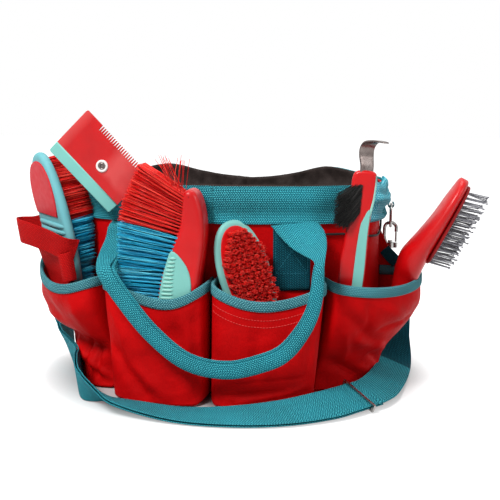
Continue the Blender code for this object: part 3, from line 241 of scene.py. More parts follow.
def clear_look(name, colour, shade, highlight_colour):
    """Glossy tinted comb plastic, with a painted highlight at one end and over one area, where it goes
    paler.
    """
    look = Look(name, 0.16, spec=0.3)
    u, v = look.parts("UV")
    drift = look.noise(55, 3).math("MULTIPLY_ADD", 0.16, -0.08)
    us = u + drift
    vs = v + drift
    # Painted highlight: paler at one end and over one area of the plate.
    end = u.ramp(0.0, 0.13, 0.6, 0.0)
    highlight_patch = us.ramp(0.52, 0.66) * vs.ramp(0.34, 0.46) * (us + vs * 0.25).ramp(0.92, 1.12, 0.55, 0.12)
    base = look.mix(look.noise(30, 3).ramp(0.35, 0.7), colour, shade)
    look.drive("Base Color", look.mix(end.math("MAXIMUM", highlight_patch), base, highlight_colour))
    look.drive("Roughness", look.noise(200, 3).ramp(0.3, 0.8, 0.1, 0.26))
    look.bump(look.noise(60, 2) * 0.0004, 0.4)
    look.fix({"Transmission Weight": 0.08, "IOR": 1.49, "Coat Weight": 0.15})
    return look.material


RED_CLOTH = cloth_look("red_cloth", linear(168, 5, 8), linear(204, 6, 10), linear(224, 16, 17), 0.0, 0.55)
DARK_CLOTH = cloth_look("lining_cloth", linear(22, 18, 17), linear(50, 42, 40), linear(96, 84, 80), 0.1, 0.5)
TEAL_WEB = webbing_look("teal_web", linear(0, 66, 80), linear(3, 98, 116), linear(86, 208, 220))
# Two copies of the teal webbing: lit_web is a lighter copy (painted light) and shaded_web a darker copy
# (painted shade).
PAINTED_LIT_WEB = webbing_look("lit_web", linear(24, 124, 146), linear(60, 166, 186), linear(150, 226, 236))
PAINTED_SHADE_WEB = webbing_look("shaded_web", linear(0, 38, 48), linear(3, 58, 72), linear(26, 112, 128))
TEAL_TAPE = webbing_look("teal_binding", linear(12, 74, 88), linear(36, 108, 122), linear(126, 200, 206),
                         0.0045, 0.0026)
RED_WEB = webbing_look("red_web", linear(158, 4, 7), linear(196, 8, 10), linear(226, 26, 24), 0.1, 0.0019)
STITCH_TEAL = plastic_look("teal_thread", linear(40, 140, 158), linear(20, 100, 120), 0.6)
STITCH_RED = plastic_look("red_thread", linear(226, 74, 70), linear(206, 50, 48), 0.6)
# Black piping, also used as a painted shadow line on the right wall.
PIPING_AND_SHADOW_LINE = plastic_look("dark_piping_shadow_line", linear(22, 20, 22), linear(34, 30, 32), 0.55)
RED_SHELL = plastic_look("red_moulded", linear(208, 7, 12), linear(186, 4, 8), 0.36, 0.08)
RED_INLAY = plastic_look("red_soft", linear(208, 44, 54), linear(194, 34, 44), 0.55)
MINT = plastic_look("mint_soft", linear(128, 196, 186), linear(114, 184, 178), 0.55, grain=0.0002)
MINT_PALE = plastic_look("mint_rib", linear(152, 208, 196), linear(140, 198, 188), 0.5, grain=0.0002)
MINT_BLUE = plastic_look("mint_blue", linear(118, 186, 192), linear(104, 174, 182), 0.55, grain=0.0002)
TAB_RED = plastic_look("tab_red", linear(212, 16, 18), linear(190, 10, 14), 0.28, 0.3)
STEEL = metal_look("plated_steel", (0.42, 0.41, 0.4, 1), (0.24, 0.23, 0.22, 1), 0.24)
BLADE = metal_look("blade_steel", (0.2, 0.17, 0.16, 1), (0.1, 0.075, 0.07, 1), 0.26)
PIN_STEEL = metal_look("pin_steel", (0.24, 0.24, 0.26, 1), (0.1, 0.1, 0.11, 1), 0.32)
PAD = plastic_look("pin_cushion", linear(150, 8, 12), linear(110, 6, 10), 0.55)
BOARD = plastic_look("board", linear(52, 46, 43), linear(40, 35, 33), 0.8)
WHITE_RING = plastic_look("eyelet_rim", linear(236, 234, 230), linear(222, 220, 216), 0.35)
RED_FIBRE = bristle_look("red_fibre", linear(184, 5, 5), linear(240, 20, 16), linear(255, 88, 72))
BLUE_FIBRE = bristle_look("blue_fibre", linear(8, 136, 180), linear(28, 184, 222), linear(116, 224, 242))
BLACK_FIBRE = bristle_look("black_fibre", linear(6, 6, 6), linear(14, 14, 14), linear(62, 60, 58), 0.5)
COMB = clear_look("comb_plastic", linear(208, 3, 9), linear(184, 4, 10), linear(228, 92, 90))
# A brighter copy of the red fibre for the face brush's tufts: painted light on tufts that face away from the
# key lamp.
PAINTED_LIT_TUFT = bristle_look("tuft_fibre_lit", linear(196, 5, 5), linear(252, 22, 18), linear(255, 104, 88))


# Mesh helpers

def make(name, verts, faces, look, body, uvs=None, smooth=True):
    """One object from points and faces, riding on a body; uvs hold one pair per point."""
    mesh = bpy.data.meshes.new(name)
    points = np.asarray(verts, dtype=float).reshape(-1, 3)
    mesh.from_pydata(points.tolist(), [], [tuple(int(i) for i in f) for f in faces])
    mesh.materials.append(look)
    if smooth:
        mesh.shade_smooth()
    if uvs is not None:
        layer = mesh.uv_layers.new(name="UVMap")
        loops = np.empty(len(mesh.loops), dtype=np.int64)
        mesh.loops.foreach_get("vertex_index", loops)
        pairs = np.asarray(uvs, dtype=np.float32).reshape(-1, 2)
        layer.data.foreach_set("uv", pairs[loops].ravel())
    obj = bpy.data.objects.new(name, mesh)
    bpy.context.scene.collection.objects.link(obj)
    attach(obj, body)
    return obj


def grid_faces(rows, cols, wrap_rows=False, wrap_cols=False, start=0):
    """Quads of a grid of points, closed on itself where it wraps."""
    r = np.arange(rows if wrap_rows else rows - 1)
    c = np.arange(cols if wrap_cols else cols - 1)
    r, c = np.meshgrid(r, c, indexing="ij")
    a = r * cols + c
    b = r * cols + (c + 1) % cols
    d = ((r + 1) % rows) * cols + (c + 1) % cols
    e = ((r + 1) % rows) * cols + c
    return (np.stack([a, b, d, e], -1).reshape(-1, 4) + start).tolist()


def capped(rows, cols):
    """Faces of a closed tube of rings with a flat cap at each end."""
    last = (rows - 1) * cols
    return grid_faces(rows, cols, wrap_cols=True) + [list(range(cols)), list(range(last, last + cols))]


def solidify(obj, thickness, offset=-1.0):
    """Gives a sheet a thickness, toward its back where the offset is -1."""
    step = obj.modifiers.new("thickness", "SOLIDIFY")
    step.thickness = thickness
    step.offset = offset
    step.use_even_offset = False


def sheet(name, points, uvs, look, body, thickness, offset=-1.0, wrap=False):
    """Thin cloth from a grid of points; uvs are two arrays that fit the grid."""
    rows, cols = points.shape[:2]
    pairs = np.stack(np.broadcast_arrays(*uvs), -1)
    obj = make(name, points, grid_faces(rows, cols, wrap_cols=wrap), look, body, pairs)
    solidify(obj, thickness, offset)
    return obj


def curve(points, steps):
    """Catmull-Rom through rows of numbers."""
    p = np.asarray(points, dtype=float)
    out = []
    n = len(p)
    for i in range(n - 1):
        a = p[max(i - 1, 0)]
        b = p[i]
        c = p[i + 1]
        d = p[min(i + 2, n - 1)]
        for k in range(steps):
            t = k / steps
            out.append(0.5 * (2 * b + (c - a) * t + (2 * a - 5 * b + 4 * c - d) * t * t
                              + (3 * b - a - 3 * c + d) * t ** 3))
    out.append(p[-1])
    return np.array(out)


def mm(rows):
    """Rows of millimetres as metres."""
    return np.array(rows) / 1000


def unit(v):
    """Rows of directions, each with length 1."""
    return v / np.maximum(np.linalg.norm(v, axis=-1, keepdims=True), 1e-12)


def run_of(points):
    """Length along a path, from 0 at its first point."""
    return np.concatenate([[0], np.cumsum(np.linalg.norm(np.diff(points, axis=0), axis=1))])


def circle(count):
    """Points evenly round the unit circle."""
    a = 2 * math.pi * np.arange(count) / count
    return np.stack([np.cos(a), np.sin(a)], 1)


def disc(side, other, count):
    """Unit circle of points in the plane of two directions."""
    ring = circle(count)
    return side * ring[:, :1] + other * ring[:, 1:]


def powered(v, power):
    """Power of a value's size, with its sign kept."""
    return np.sign(v) * np.abs(v) ** power


def bell(value, middle, width):
    """1 at the middle, falling smoothly to 0 on both sides."""
    return np.exp(-((value - middle) / width) ** 2)


def rise(value, start, span):
    """From 0 at a start to 1 a span further on."""
    return np.clip((value - start) / span, 0, 1)


def soft_noise(points, scale, seed=0.0):
    """Smooth noise, one value per point, about -1 to 1."""
    shift = np.array([seed, -seed, 2 * seed])
    flat = points.reshape(-1, 3) * scale + shift
    return np.array([noise.noise(Vector(p)) for p in flat]).reshape(points.shape[:-1])


def sweep(name, rows, look, body, steps=10, offset=0.0, seam=0.0, shape=6.0):
    """Webbing band: rows of x, y, z, width direction, width, thickness. Seam cuts a groove in it."""
    rows = curve(rows, steps)
    along = unit(np.gradient(rows[:, :3], axis=0))
    across = rows[:, 3:6]
    across = unit(across - along * np.sum(along * across, 1, keepdims=True))
    up = np.cross(along, across)
    centre = rows[:, :3] + up * offset
    run = run_of(centre)
    count = 64 if seam else 28
    angle = 2 * math.pi * (np.arange(count) + 0.5) / count
    verts = []
    uvs = []
    for i in range(len(rows)):
        width = rows[i, 6] / 2
        thick = rows[i, 7] / 2
        power = 2 / (2.4 + (shape - 2.4) * np.clip(1 - (thick / width) * 2.2, 0, 1))
        px = width * powered(np.cos(angle), power)
        py = thick * powered(np.sin(angle), power)
        if seam:
            rolled = rise(thick, 0.0022, 0.002)
            near = bell(angle, seam, 0.17) * rolled
            lips = bell(np.abs(angle - seam), 0.42, 0.14) * rolled
            px = px * (1 - 0.5 * near + 0.07 * lips)
            py = py * (1 - 0.6 * near + 0.1 * lips)
        verts.append(centre[i] + across[i] * px[:, None] + up[i] * py[:, None])
        reach = run_of(np.stack([px, py], 1))
        uvs.append(np.stack([np.full(count, run[i]), reach], 1))
    return make(name, verts, capped(len(rows), count), look, body, uvs)


def thread(name, points, radius, look, body, stitch=0.0034, gap=0.0011):
    """A row of separate stitches along a path of points."""
    p = np.asarray(points, dtype=float)
    run = run_of(p)
    verts = []
    faces = []
    at = 0.0
    while at + stitch < run[-1]:
        s = np.linspace(at, at + stitch, 5)
        q = np.stack([np.interp(s, run, p[:, k]) for k in range(3)], 1)
        along = unit(q[-1] - q[0])
        side = unit(np.cross(along, [0.31, 0.17, 0.93]))
        ring = disc(side, np.cross(along, side), 6)
        start = len(verts)
        for here, swell in zip(q, (0.45, 0.95, 1.0, 0.95, 0.45)):
            verts.extend(here + ring * radius * swell)
        faces += grid_faces(5, 6, wrap_cols=True, start=start)
        faces += [[start + k for k in range(6)], [start + 24 + k for k in range(6)]]
        at += stitch + gap
    return make(name, verts, faces, look, body)


def tube(name, points, radius, look, body, sides=12, closed=False):
    """Round bar along a path; radius may vary along it."""
    p = np.asarray(points, dtype=float)
    n = len(p)
    if closed:
        along = unit(np.roll(p, -1, 0) - np.roll(p, 1, 0))
    else:
        along = unit(np.gradient(p, axis=0))
    radius = np.broadcast_to(radius, n)
    side = np.cross(along[0], [0.0, 0.0, 1.0])
    if np.linalg.norm(side) < 0.1:
        side = np.cross(along[0], [1.0, 0.0, 0.0])
    side = unit(side)
    verts = []
    for i in range(n):
        side = unit(side - along[i] * np.dot(side, along[i]))
        verts.extend(p[i] + disc(side, np.cross(along[i], side), sides) * radius[i])
    faces = grid_faces(n, sides, wrap_rows=True, wrap_cols=True) if closed else capped(n, sides)
    return make(name, verts, faces, look, body)


def fibres(name, roots, tips, radius, look, body, bend):
    """A field of bristles from root points to tip points."""
    sides = 3
    segments = 3
    taper = 0.75
    n = len(roots)
    axis = unit(tips - roots)
    side = unit(np.cross(axis, rng.normal(size=(n, 3))))
    other = np.cross(axis, side)
    length = np.linalg.norm(tips - roots, axis=1)[:, None]
    swing = side * length * bend * rng.normal(size=(n, 1))
    tone = rng.random(n)
    verts = np.empty((n, segments + 1, sides, 3))
    uvs = np.empty((n, segments + 1, sides, 2))
    for k in range(segments + 1):
        t = k / segments
        here = roots + (tips - roots) * t + swing * (t * t - t)
        thick = radius * (1 - (1 - taper) * t)
        for j, (c, s) in enumerate(circle(sides)):
            verts[:, k, j] = here + (side * c + other * s) * thick
            uvs[:, k, j, 0] = tone
            uvs[:, k, j, 1] = t
    per = (segments + 1) * sides
    single = grid_faces(segments + 1, sides, wrap_cols=True)
    faces = (np.array(single)[None] + np.arange(n)[:, None, None] * per).reshape(-1, 4).tolist()
    caps = (np.arange(n)[:, None] * per + segments * sides + np.arange(sides)[None]).tolist()
    return make(name, verts, faces + caps, look, body, uvs)


def pillow(name, outline, low, high, look, body, edge=0.004, frame_at=None, steps=5, smooth_by=3):
    """Rounded slab: an outline in x, z thickened along y, with soft edges."""
    p = np.asarray(outline, dtype=float)
    if smooth_by > 1:
        p = curve(np.vstack([p[-1:], p, p[:2]]), smooth_by)[smooth_by:-smooth_by - 1]
    n = len(p)
    ahead = unit(np.roll(p, -1, 0) - np.roll(p, 1, 0))
    inward = np.stack([-ahead[:, 1], ahead[:, 0]], 1)
    if np.sum(p[:, 0] * np.roll(p[:, 1], -1) - np.roll(p[:, 0], -1) * p[:, 1]) < 0:
        inward = -inward
    rings = [(edge * 1.18, 0.0)]
    for k in range(steps, -1, -1):
        a = math.pi / 2 * k / steps
        rings.append((edge * (1 - math.cos(a)), edge * (1 - math.sin(a))))
    near = [(inset, low + step) for inset, step in rings]
    far = [(inset, high - step) for inset, step in reversed(rings)]
    rings = near + far
    verts = np.concatenate([np.insert(p + inward * inset, 1, y, axis=1) for inset, y in rings])
    last = (len(rings) - 1) * n
    faces = grid_faces(len(rings), n, wrap_cols=True)
    for corners in tessellate_polygon([[Vector((x, z, 0.0)) for x, y, z in verts[:n]]]):
        faces.append(list(corners))
        faces.append([last + i for i in corners])
    if frame_at is not None:
        verts = moved(verts, frame_at)
    obj = make(name, verts, faces, look, body)
    work = bmesh.new()
    work.from_mesh(obj.data)
    bmesh.ops.recalc_face_normals(work, faces=work.faces)
    work.to_mesh(obj.data)
    work.free()
    return obj


def tool_frame(origin, up, face):
    """Rotation and origin of a tool: z along it, -y the way its back faces."""
    z = unit(np.array(up, dtype=float))
    y = -np.array(face, dtype=float)
    y = unit(y - z * np.dot(y, z))
    x = np.cross(y, z)
    return np.stack([x, y, z], 1), np.array(origin, dtype=float)


def moved(points, at):
    """A tool frame's points in the bag's frame."""
    return np.asarray(points, dtype=float) @ at[0].T + at[1]


def turned(rows, at, across=None):
    """Band rows of a tool's frame in the bag's; across is a width direction that they share."""
    out = []
    for row in rows:
        way = row[3:6] if across is None else across
        out.append((*moved(row[:3], at), *(at[0] @ np.array(way)), *row[-2:]))
    return out


def repaint(look, *nodes):
    """Give carried-over solids a finished material."""
    for node in nodes:
        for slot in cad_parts[node].material_slots:
            slot.material = look


# The oval wall

def wall_table(count=4000):
    """Run, x, y and outward normal round the wall, from the middle of the front."""
    a = np.linspace(0, 2 * math.pi, count + 1) - math.pi / 2
    x = HALF_LENGTH * powered(np.cos(a), 2 / ROUNDING)
    y = HALF_DEPTH * powered(np.sin(a), 2 / ROUNDING)
    nx = np.sign(x) * (np.abs(x) / HALF_LENGTH) ** (ROUNDING - 1) / HALF_LENGTH
    ny = np.sign(y) * (np.abs(y) / HALF_DEPTH) ** (ROUNDING - 1) / HALF_DEPTH
    length = np.hypot(nx, ny)
    return run_of(np.stack([x, y], 1)), x, y, nx / length, ny / length


WALL = wall_table()
AROUND = WALL[0][-1]


def wall_at(run):
    """Point and outward normal of the wall at a run."""
    run = np.mod(run, AROUND)
    x, y, nx, ny = (np.interp(run, WALL[0], WALL[k]) for k in range(1, 5))
    length = np.hypot(nx, ny)
    return x, y, nx / length, ny / length


def off_wall(run, out, z):
    """Points at a distance out from the wall, at heights z."""
    x, y, nx, ny = wall_at(run)
    return np.stack(np.broadcast_arrays(x + nx * out, y + ny * out, z), -1)


def run_at_x(x):
    """Place along the front wall of an x."""
    quarter = slice(0, 1001)
    return float(np.interp(abs(x), WALL[1][quarter], WALL[0][quarter])) * (1 if x > 0 else -1)


def run_at_end_y(y):
    """Place along the right end's wall of a y."""
    half = slice(0, 2001)
    return float(np.interp(y, WALL[2][half], WALL[0][half]))


def rim_lift(run, z):
    """How far the soft back edge of the rim dips or rises."""
    x, y = wall_at(run)[:2]
    back = np.maximum(0.0, y / HALF_DEPTH)
    wave = 0.008 * bell(x, 0.105, 0.03) + 0.009 * bell(x, -0.095, 0.032) - 0.008 * bell(x, 0.01, 0.055)
    return back * wave * rise(z, 0.11, 0.1)


def slack(run, z):
    """How far the soft wall stands out or in, shared by wall, lining and rim."""
    x, y = wall_at(run)[:2]
    high = np.clip(z / 0.2, 0, 1.1)
    calm = 1 - 0.85 * bell(np.abs(x), HALF_LENGTH, 0.012) * bell(y, RING_Y, 0.03)
    roll = 0.0028 * bell(z, 0.2065, 0.01) - 0.0016 * bell(z, 0.1905, 0.0065)
    roll = roll + 0.0008 * bell(z, 0.1815, 0.003)
    sway = 0.0011 * np.sin(run * 41 + 1.1) + 0.0008 * np.sin(run * 87 + z * 30)
    return (roll + high * sway) * calm


def rim_crumple(run, z):
    """Scallops where the rim webbing turns round the right end."""
    x, y = wall_at(run)[:2]
    end = rise(x, 0.14, 0.02) * bell(y, -0.02, 0.045)
    wave = np.sin((z - 0.18) * 330 + 0.8) + 0.6 * np.sin((z - 0.18) * 190 + run * 60)
    return end * (0.003 + 0.0022 * wave) * np.clip((RIM_TOP - z) / 0.01, 0.1, 1)


def wall_sheet(name, look, base, low, high, rows, cols, thick, extra, offset=-1.0):
    """Cloth or webbing wound round the wall between two heights."""
    heights = low + (high - low) * np.linspace(0, 1, rows)
    run, z = np.meshgrid(np.linspace(0, AROUND, cols, endpoint=False), heights)
    out = base + slack(run, z) + extra(run, z)
    points = off_wall(run, out, z + rim_lift(run, z))
    return sheet(name, points, (run, z), look, "bag", thick, offset, wrap=True)


def body_and_rim():
    """Red wall, underside, dark lining and the webbing round the rim."""
    def dents(run, z):
        x, y = wall_at(run)[:2]
        pts = np.stack([x * 18, y * 18, z * 22], -1)
        return 0.0009 * soft_noise(pts, 1.0, 3.0) * rise(z, 0, 0.03)

    def creases(run, z):
        x, y = wall_at(run)[:2]
        pts = np.stack([x, y, z * 0.45], -1)
        fold = soft_noise(pts, 42.0, 5.0) + 0.6 * soft_noise(pts, 95.0, 9.0)
        fold = fold + 0.35 * soft_noise(pts, 210.0, 2.0)
        top = rise(z, 0.1, 0.08)
        back = rise(y, 0, 0.04)
        sway = np.abs(np.sin(x * 88 + z * 46 + 1.3 * soft_noise(pts, 24.0, 6.0)))
        deep = 0.0015 + (0.003 + 0.003 * sway) * back * top
        return -0.0004 - deep * np.abs(fold) * (0.25 + 0.75 * top) - 0.0026 * back * top * sway

    wall = wall_sheet("bag_wall", RED_CLOTH, -0.0004, 0.004, 0.216, 48, 300, 0.0018, dents)
    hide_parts("body_shell")
    cols = 160
    x, y, nx, ny = wall_at(np.linspace(0, AROUND, cols, endpoint=False))
    loops = []
    for share, out, z in ((1, -0.0004, 0.0042), (1, -0.0012, 0.0016), (1, -0.004, 0.0002), (0.75, 0, 0),
                          (0.1, 0, 0)):
        loops.append(np.stack([x * share + nx * out, y * share + ny * out, np.full(cols, z)], 1))
    verts = np.concatenate(loops)
    faces = grid_faces(len(loops), cols, wrap_cols=True) + [list(range(4 * cols, 5 * cols))]
    under = make("bag_underside", verts, faces, RED_CLOTH, "bag", verts[:, :2])
    solidify(under, 0.0015, 1.0)
    skin = wall_sheet("bag_lining", DARK_CLOTH, -0.0031, 0.004, RIM_TOP + 0.0014, 60, 420, 0.0009, creases)
    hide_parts("lining")
    rim_low = RIM_TOP - WEB_WIDTH
    band = wall_sheet("rim_webbing", TEAL_WEB, SEWN_OUT, rim_low, RIM_TOP, 34, 520, WEB_THICK, rim_crumple,
                      offset=1.0)
    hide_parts("rim_band")
    run = np.linspace(0, AROUND, 900)
    for height, name in ((RIM_TOP - 0.0022, "rim_stitch_top"), (rim_low + 0.0022, "rim_stitch_low")):
        z = np.full(len(run), height)
        out = SEWN_OUT + WEB_THICK + slack(run, z) + rim_crumple(run, z) + 0.0001
        line = off_wall(run, out, z + rim_lift(run, z))
        thread(name, line, 0.00028, STITCH_TEAL, "bag")


def right_end():
    """Rim webbing bunched over the right end, the gusset from wall to pocket, and a web tail."""
    run = np.linspace(run_at_x(0.15), run_at_end_y(0.02), 90)
    z = np.linspace(RIM_TOP - WEB_WIDTH - 0.0016, RIM_TOP + 0.001, 40)
    rr, zz = np.meshgrid(run, z)
    t = (rr - run[0]) / (run[-1] - run[0])
    s = (zz - z[0]) / (z[-1] - z[0])
    hump = np.sin(math.pi * np.clip(s, 0, 1)) ** 0.5
    hump = hump * rise(t, 0, 0.12) * rise(1 - t, 0, 0.12)
    wave = np.sin(s * 12.5 + 0.6 + t * 2.0) + 0.6 * np.sin(s * 23 + 1.4 - t * 3.0)
    out = 0.0026 + hump * (0.0062 + 0.0018 * wave) + slack(rr, zz)
    points = off_wall(rr, out, zz + 0.002 * np.sin(t * 15) * s)
    # The bunched rim webbing uses the lighter webbing copy: painted light falling from the right.
    sheet("rim_fold_right", points, (rr, zz), PAINTED_LIT_WEB, "bag", CLOTH_THICK)
    t = np.linspace(0, 1, 26)
    low = 0.085
    top = np.interp(t, [0, 0.09, 0.38, 0.65, 0.9, 1.0], [0.172, 0.1668, 0.1469, 0.1384, 0.131, 0.126])
    tt, ss = np.meshgrid(t, np.linspace(0, 1, 30))
    x = 0.1618 + 0.029 * tt
    y = -0.0035 - 0.006 * tt + 0.0016 * np.sin(tt * 9 + ss * 7) * tt
    z = low + (top - low) * ss
    gusset = sheet("pouch_gusset_right", np.stack([x, y, z], -1), (x, z), RED_CLOTH, "bag", CLOTH_THICK)
    rows = [(0.17, -0.0066, 0.143, 0.75, 0, 0.66, 0.012, 0.0014),
            (0.1768, -0.0082, 0.1358, 0.7, 0, 0.71, 0.013, 0.0014),
            (0.184, -0.0098, 0.1288, 0.7, 0, 0.71, 0.013, 0.0014)]
    # The web tail uses the darker webbing copy: painted shade.
    sweep("web_tail_right", rows, PAINTED_SHADE_WEB, "bag", steps=4)


# Pockets

EDGE = run_at_x(0.112)
END = run_at_end_y(-0.006)
SEAM_LEFT = run_at_x(0.102)
SEAM_RIGHT = run_at_x(0.105)
# Lean of each pocket's two side seams at the ground, along the wall
LEANS = {"front_left": (0.008, -0.002), "front_right": (-0.002, -0.01), "end_right": (-0.01, 0.0),
         "end_left": (0.0, 0.008)}
# Flare of the hem over the ground: from u, to u, distance
FLARES = {"end_left": (0.4, 0.98, 0.01)}
POCKETS = {
    "front_left": (-SEAM_LEFT, -0.002, POCKET_DEPTH, POCKET_DEPTH * 0.97),
    "front_right": (0.002, SEAM_RIGHT, POCKET_DEPTH, POCKET_DEPTH * 0.97),
    "end_right": (SEAM_RIGHT + 0.006, END, POCKET_DEPTH, 0.0015),
    "end_left": (-END, -SEAM_LEFT - 0.006, POCKET_DEPTH, 0.009),
    "back_right": (AROUND / 2 - EDGE, AROUND / 2 - 0.003, 0.032, 0.0288),
    "back_left": (AROUND / 2 + 0.003, AROUND / 2 + EDGE, 0.032, 0.0288),
}
# Sagging bottoms: from u, full at u, drop in metres
SAGS = {"front_left": (-0.15, 0.28, 0.0054), "front_right": (0.0, 0.06, 0.0046),
        "end_left": (0.3, 0.55, 0.0056)}
# Folds: start u, start height share, end u, end share, rise in metres, half width share
FOLDS = {
    "front_left": [(0.02, 0.55, 0.4, 0.1, -0.0044, 0.07), (0.25, 0.34, 0.62, 0.08, 0.0034, 0.08),
                   (0.62, 0.95, 0.8, 0.3, -0.0036, 0.08), (0.9, 0.8, 0.94, 0.1, -0.004, 0.05),
                   (0.08, 0.85, 0.22, 0.55, 0.0024, 0.05)],
    "front_right": [(0.22, 0.2, 0.85, 0.27, -0.0022, 0.02), (0.15, 0.12, 0.7, 0.16, -0.002, 0.02),
                    (0.3, 0.06, 0.9, 0.19, 0.0022, 0.03), (0.42, 0.8, 0.48, 0.3, -0.0034, 0.07),
                    (0.93, 0.85, 0.88, 0.1, -0.003, 0.05), (0.02, 0.9, 0.1, 0.1, -0.0022, 0.06)],
    "end_left": [(0.22, 0.4, 0.86, 0.37, -0.015, 0.085), (0.1, 0.6, 0.6, 0.56, 0.003, 0.05),
                 (0.56, 0.2, 0.94, 0.18, 0.005, 0.12), (0.4, 0.36, 0.98, 0.08, 0.004, 0.04),
                 (0.64, 0.42, 0.7, 0.06, -0.005, 0.028), (0.82, 0.38, 0.8, 0.1, -0.004, 0.025),
                 (0.3, 0.3, 0.6, 0.16, -0.0022, 0.035), (0.4, 0.95, 0.62, 0.5, -0.0034, 0.08),
                 (0.8, 0.9, 0.86, 0.45, 0.0026, 0.06)],
    "end_right": [(0.05, 0.8, 0.42, 0.46, -0.006, 0.055), (0.18, 0.95, 0.62, 0.62, 0.0036, 0.045),
                  (0.42, 0.6, 0.8, 0.66, -0.0046, 0.035), (0.08, 0.32, 0.46, 0.16, -0.0068, 0.06),
                  (0.28, 0.5, 0.66, 0.34, 0.0056, 0.05), (0.5, 0.34, 0.8, 0.2, -0.0046, 0.035),
                  (0.3, 0.26, 0.6, 0.12, 0.005, 0.045), (0.24, 0.84, 0.3, 0.6, -0.003, 0.025),
                  (0.48, 0.86, 0.7, 0.8, 0.0024, 0.035), (0.12, 0.6, 0.24, 0.3, 0.003, 0.03)],
    "back_right": [(0.2, 0.6, 0.7, 0.3, -0.0015, 0.06), (0.5, 0.3, 0.9, 0.1, 0.0014, 0.06)],
    "back_left": [(0.3, 0.7, 0.8, 0.35, -0.0015, 0.06), (0.1, 0.3, 0.5, 0.1, 0.0014, 0.06)],
}


# Section of a pocket's binding in mm: distance out from the edge, height over it
BINDING = mm([(1.2, -8.8), (1.5, -6), (1.4, -3), (1.3, -0.4), (1, 0.8), (0.2, 1.4), (-0.9, 1.4),
              (-2, 0.8), (-2.4, -0.4), (-2.5, -4), (-2.4, -8.8)])


def profile(u):
    """How much of a pocket's depth shows at u, from 0 at its seams to 1."""
    return np.maximum(0.0, 1.0 - np.abs(2 * u - 1) ** 5.0) ** 0.2


# Mouths: how much of the sag shows, where its lowest point lies, lift at the start
MOUTHS = {"front_left": (1.1, 1.45, 0.0), "front_right": (1.05, 0.95, 0.0), "end_left": (1.0, 1.35, 0.0125),
          "end_right": (0.45, 1.0, 0.0)}


def mouth(u, name):
    """Height of a pocket's edge."""
    share, skew, lift = MOUTHS.get(name, (1.0, 1.0, 0.0))
    at = np.clip(u, 0, 1)
    return POCKET_MOUTH - POCKET_SAG * share * np.sin(math.pi * at ** skew) ** 1.2 + lift * (1 - at) ** 1.6


def fold_lift(name, u, share):
    """Pushes the cloth out or in along each named fold."""
    out = np.zeros_like(u)
    for u0, s0, u1, s1, height, width in FOLDS[name]:
        dx = u1 - u0
        dy = s1 - s0
        t = np.clip(((u - u0) * dx + (share - s0) * dy) / (dx * dx + dy * dy), 0, 1)
        gap = np.hypot(u - u0 - dx * t, (share - s0 - dy * t) * 1.1)
        out = out + height * bell(gap, 0, width) * (0.45 + 0.55 * np.sin(math.pi * (0.12 + 0.76 * t)))
    return out


def pocket_run(name, u, z):
    """Place along the wall of a pouch's u, with its seams leaning toward the ground."""
    start, end = POCKETS[name][:2]
    first, last = LEANS.get(name, (0.0, 0.0))
    low = np.clip(1 - z / POCKET_MOUTH, 0, 1)
    return start + (end - start) * u + (first * (1 - u) + last * u) * low


def pocket_point(name, u, z, folds=True):
    """Point on the pouch's front panel."""
    deep, foot = POCKETS[name][2:]
    run = pocket_run(name, u, z)
    t = rise(z, 0.015, 0.085)
    depth = foot + (deep - foot) * t * t * (3 - 2 * t)
    share = rise(z, 0, POCKET_MOUTH)
    flat = 1 - profile(u)
    out = 0.0006 + depth * profile(u) + slack(run, z) * flat - 0.0022 * flat ** 3
    if folds:
        x, y = wall_at(run)[:2]
        pts = np.stack([x * 30, y * 30, z * 34], -1)
        crumple = 0.0016 if "end" in name else 0.0012
        edge = np.clip(1 - np.abs(2 * u - 1) ** 6, 0, 1) * rise(mouth(u, name) - z, 0.01, 0.02)
        rough = soft_noise(pts, 1.0, 11.0) + 0.5 * soft_noise(pts, 2.3, 4.0)
        out = out + (fold_lift(name, u, share) + crumple * rough) * edge
    return off_wall(run, np.maximum(out, -0.0016), z)


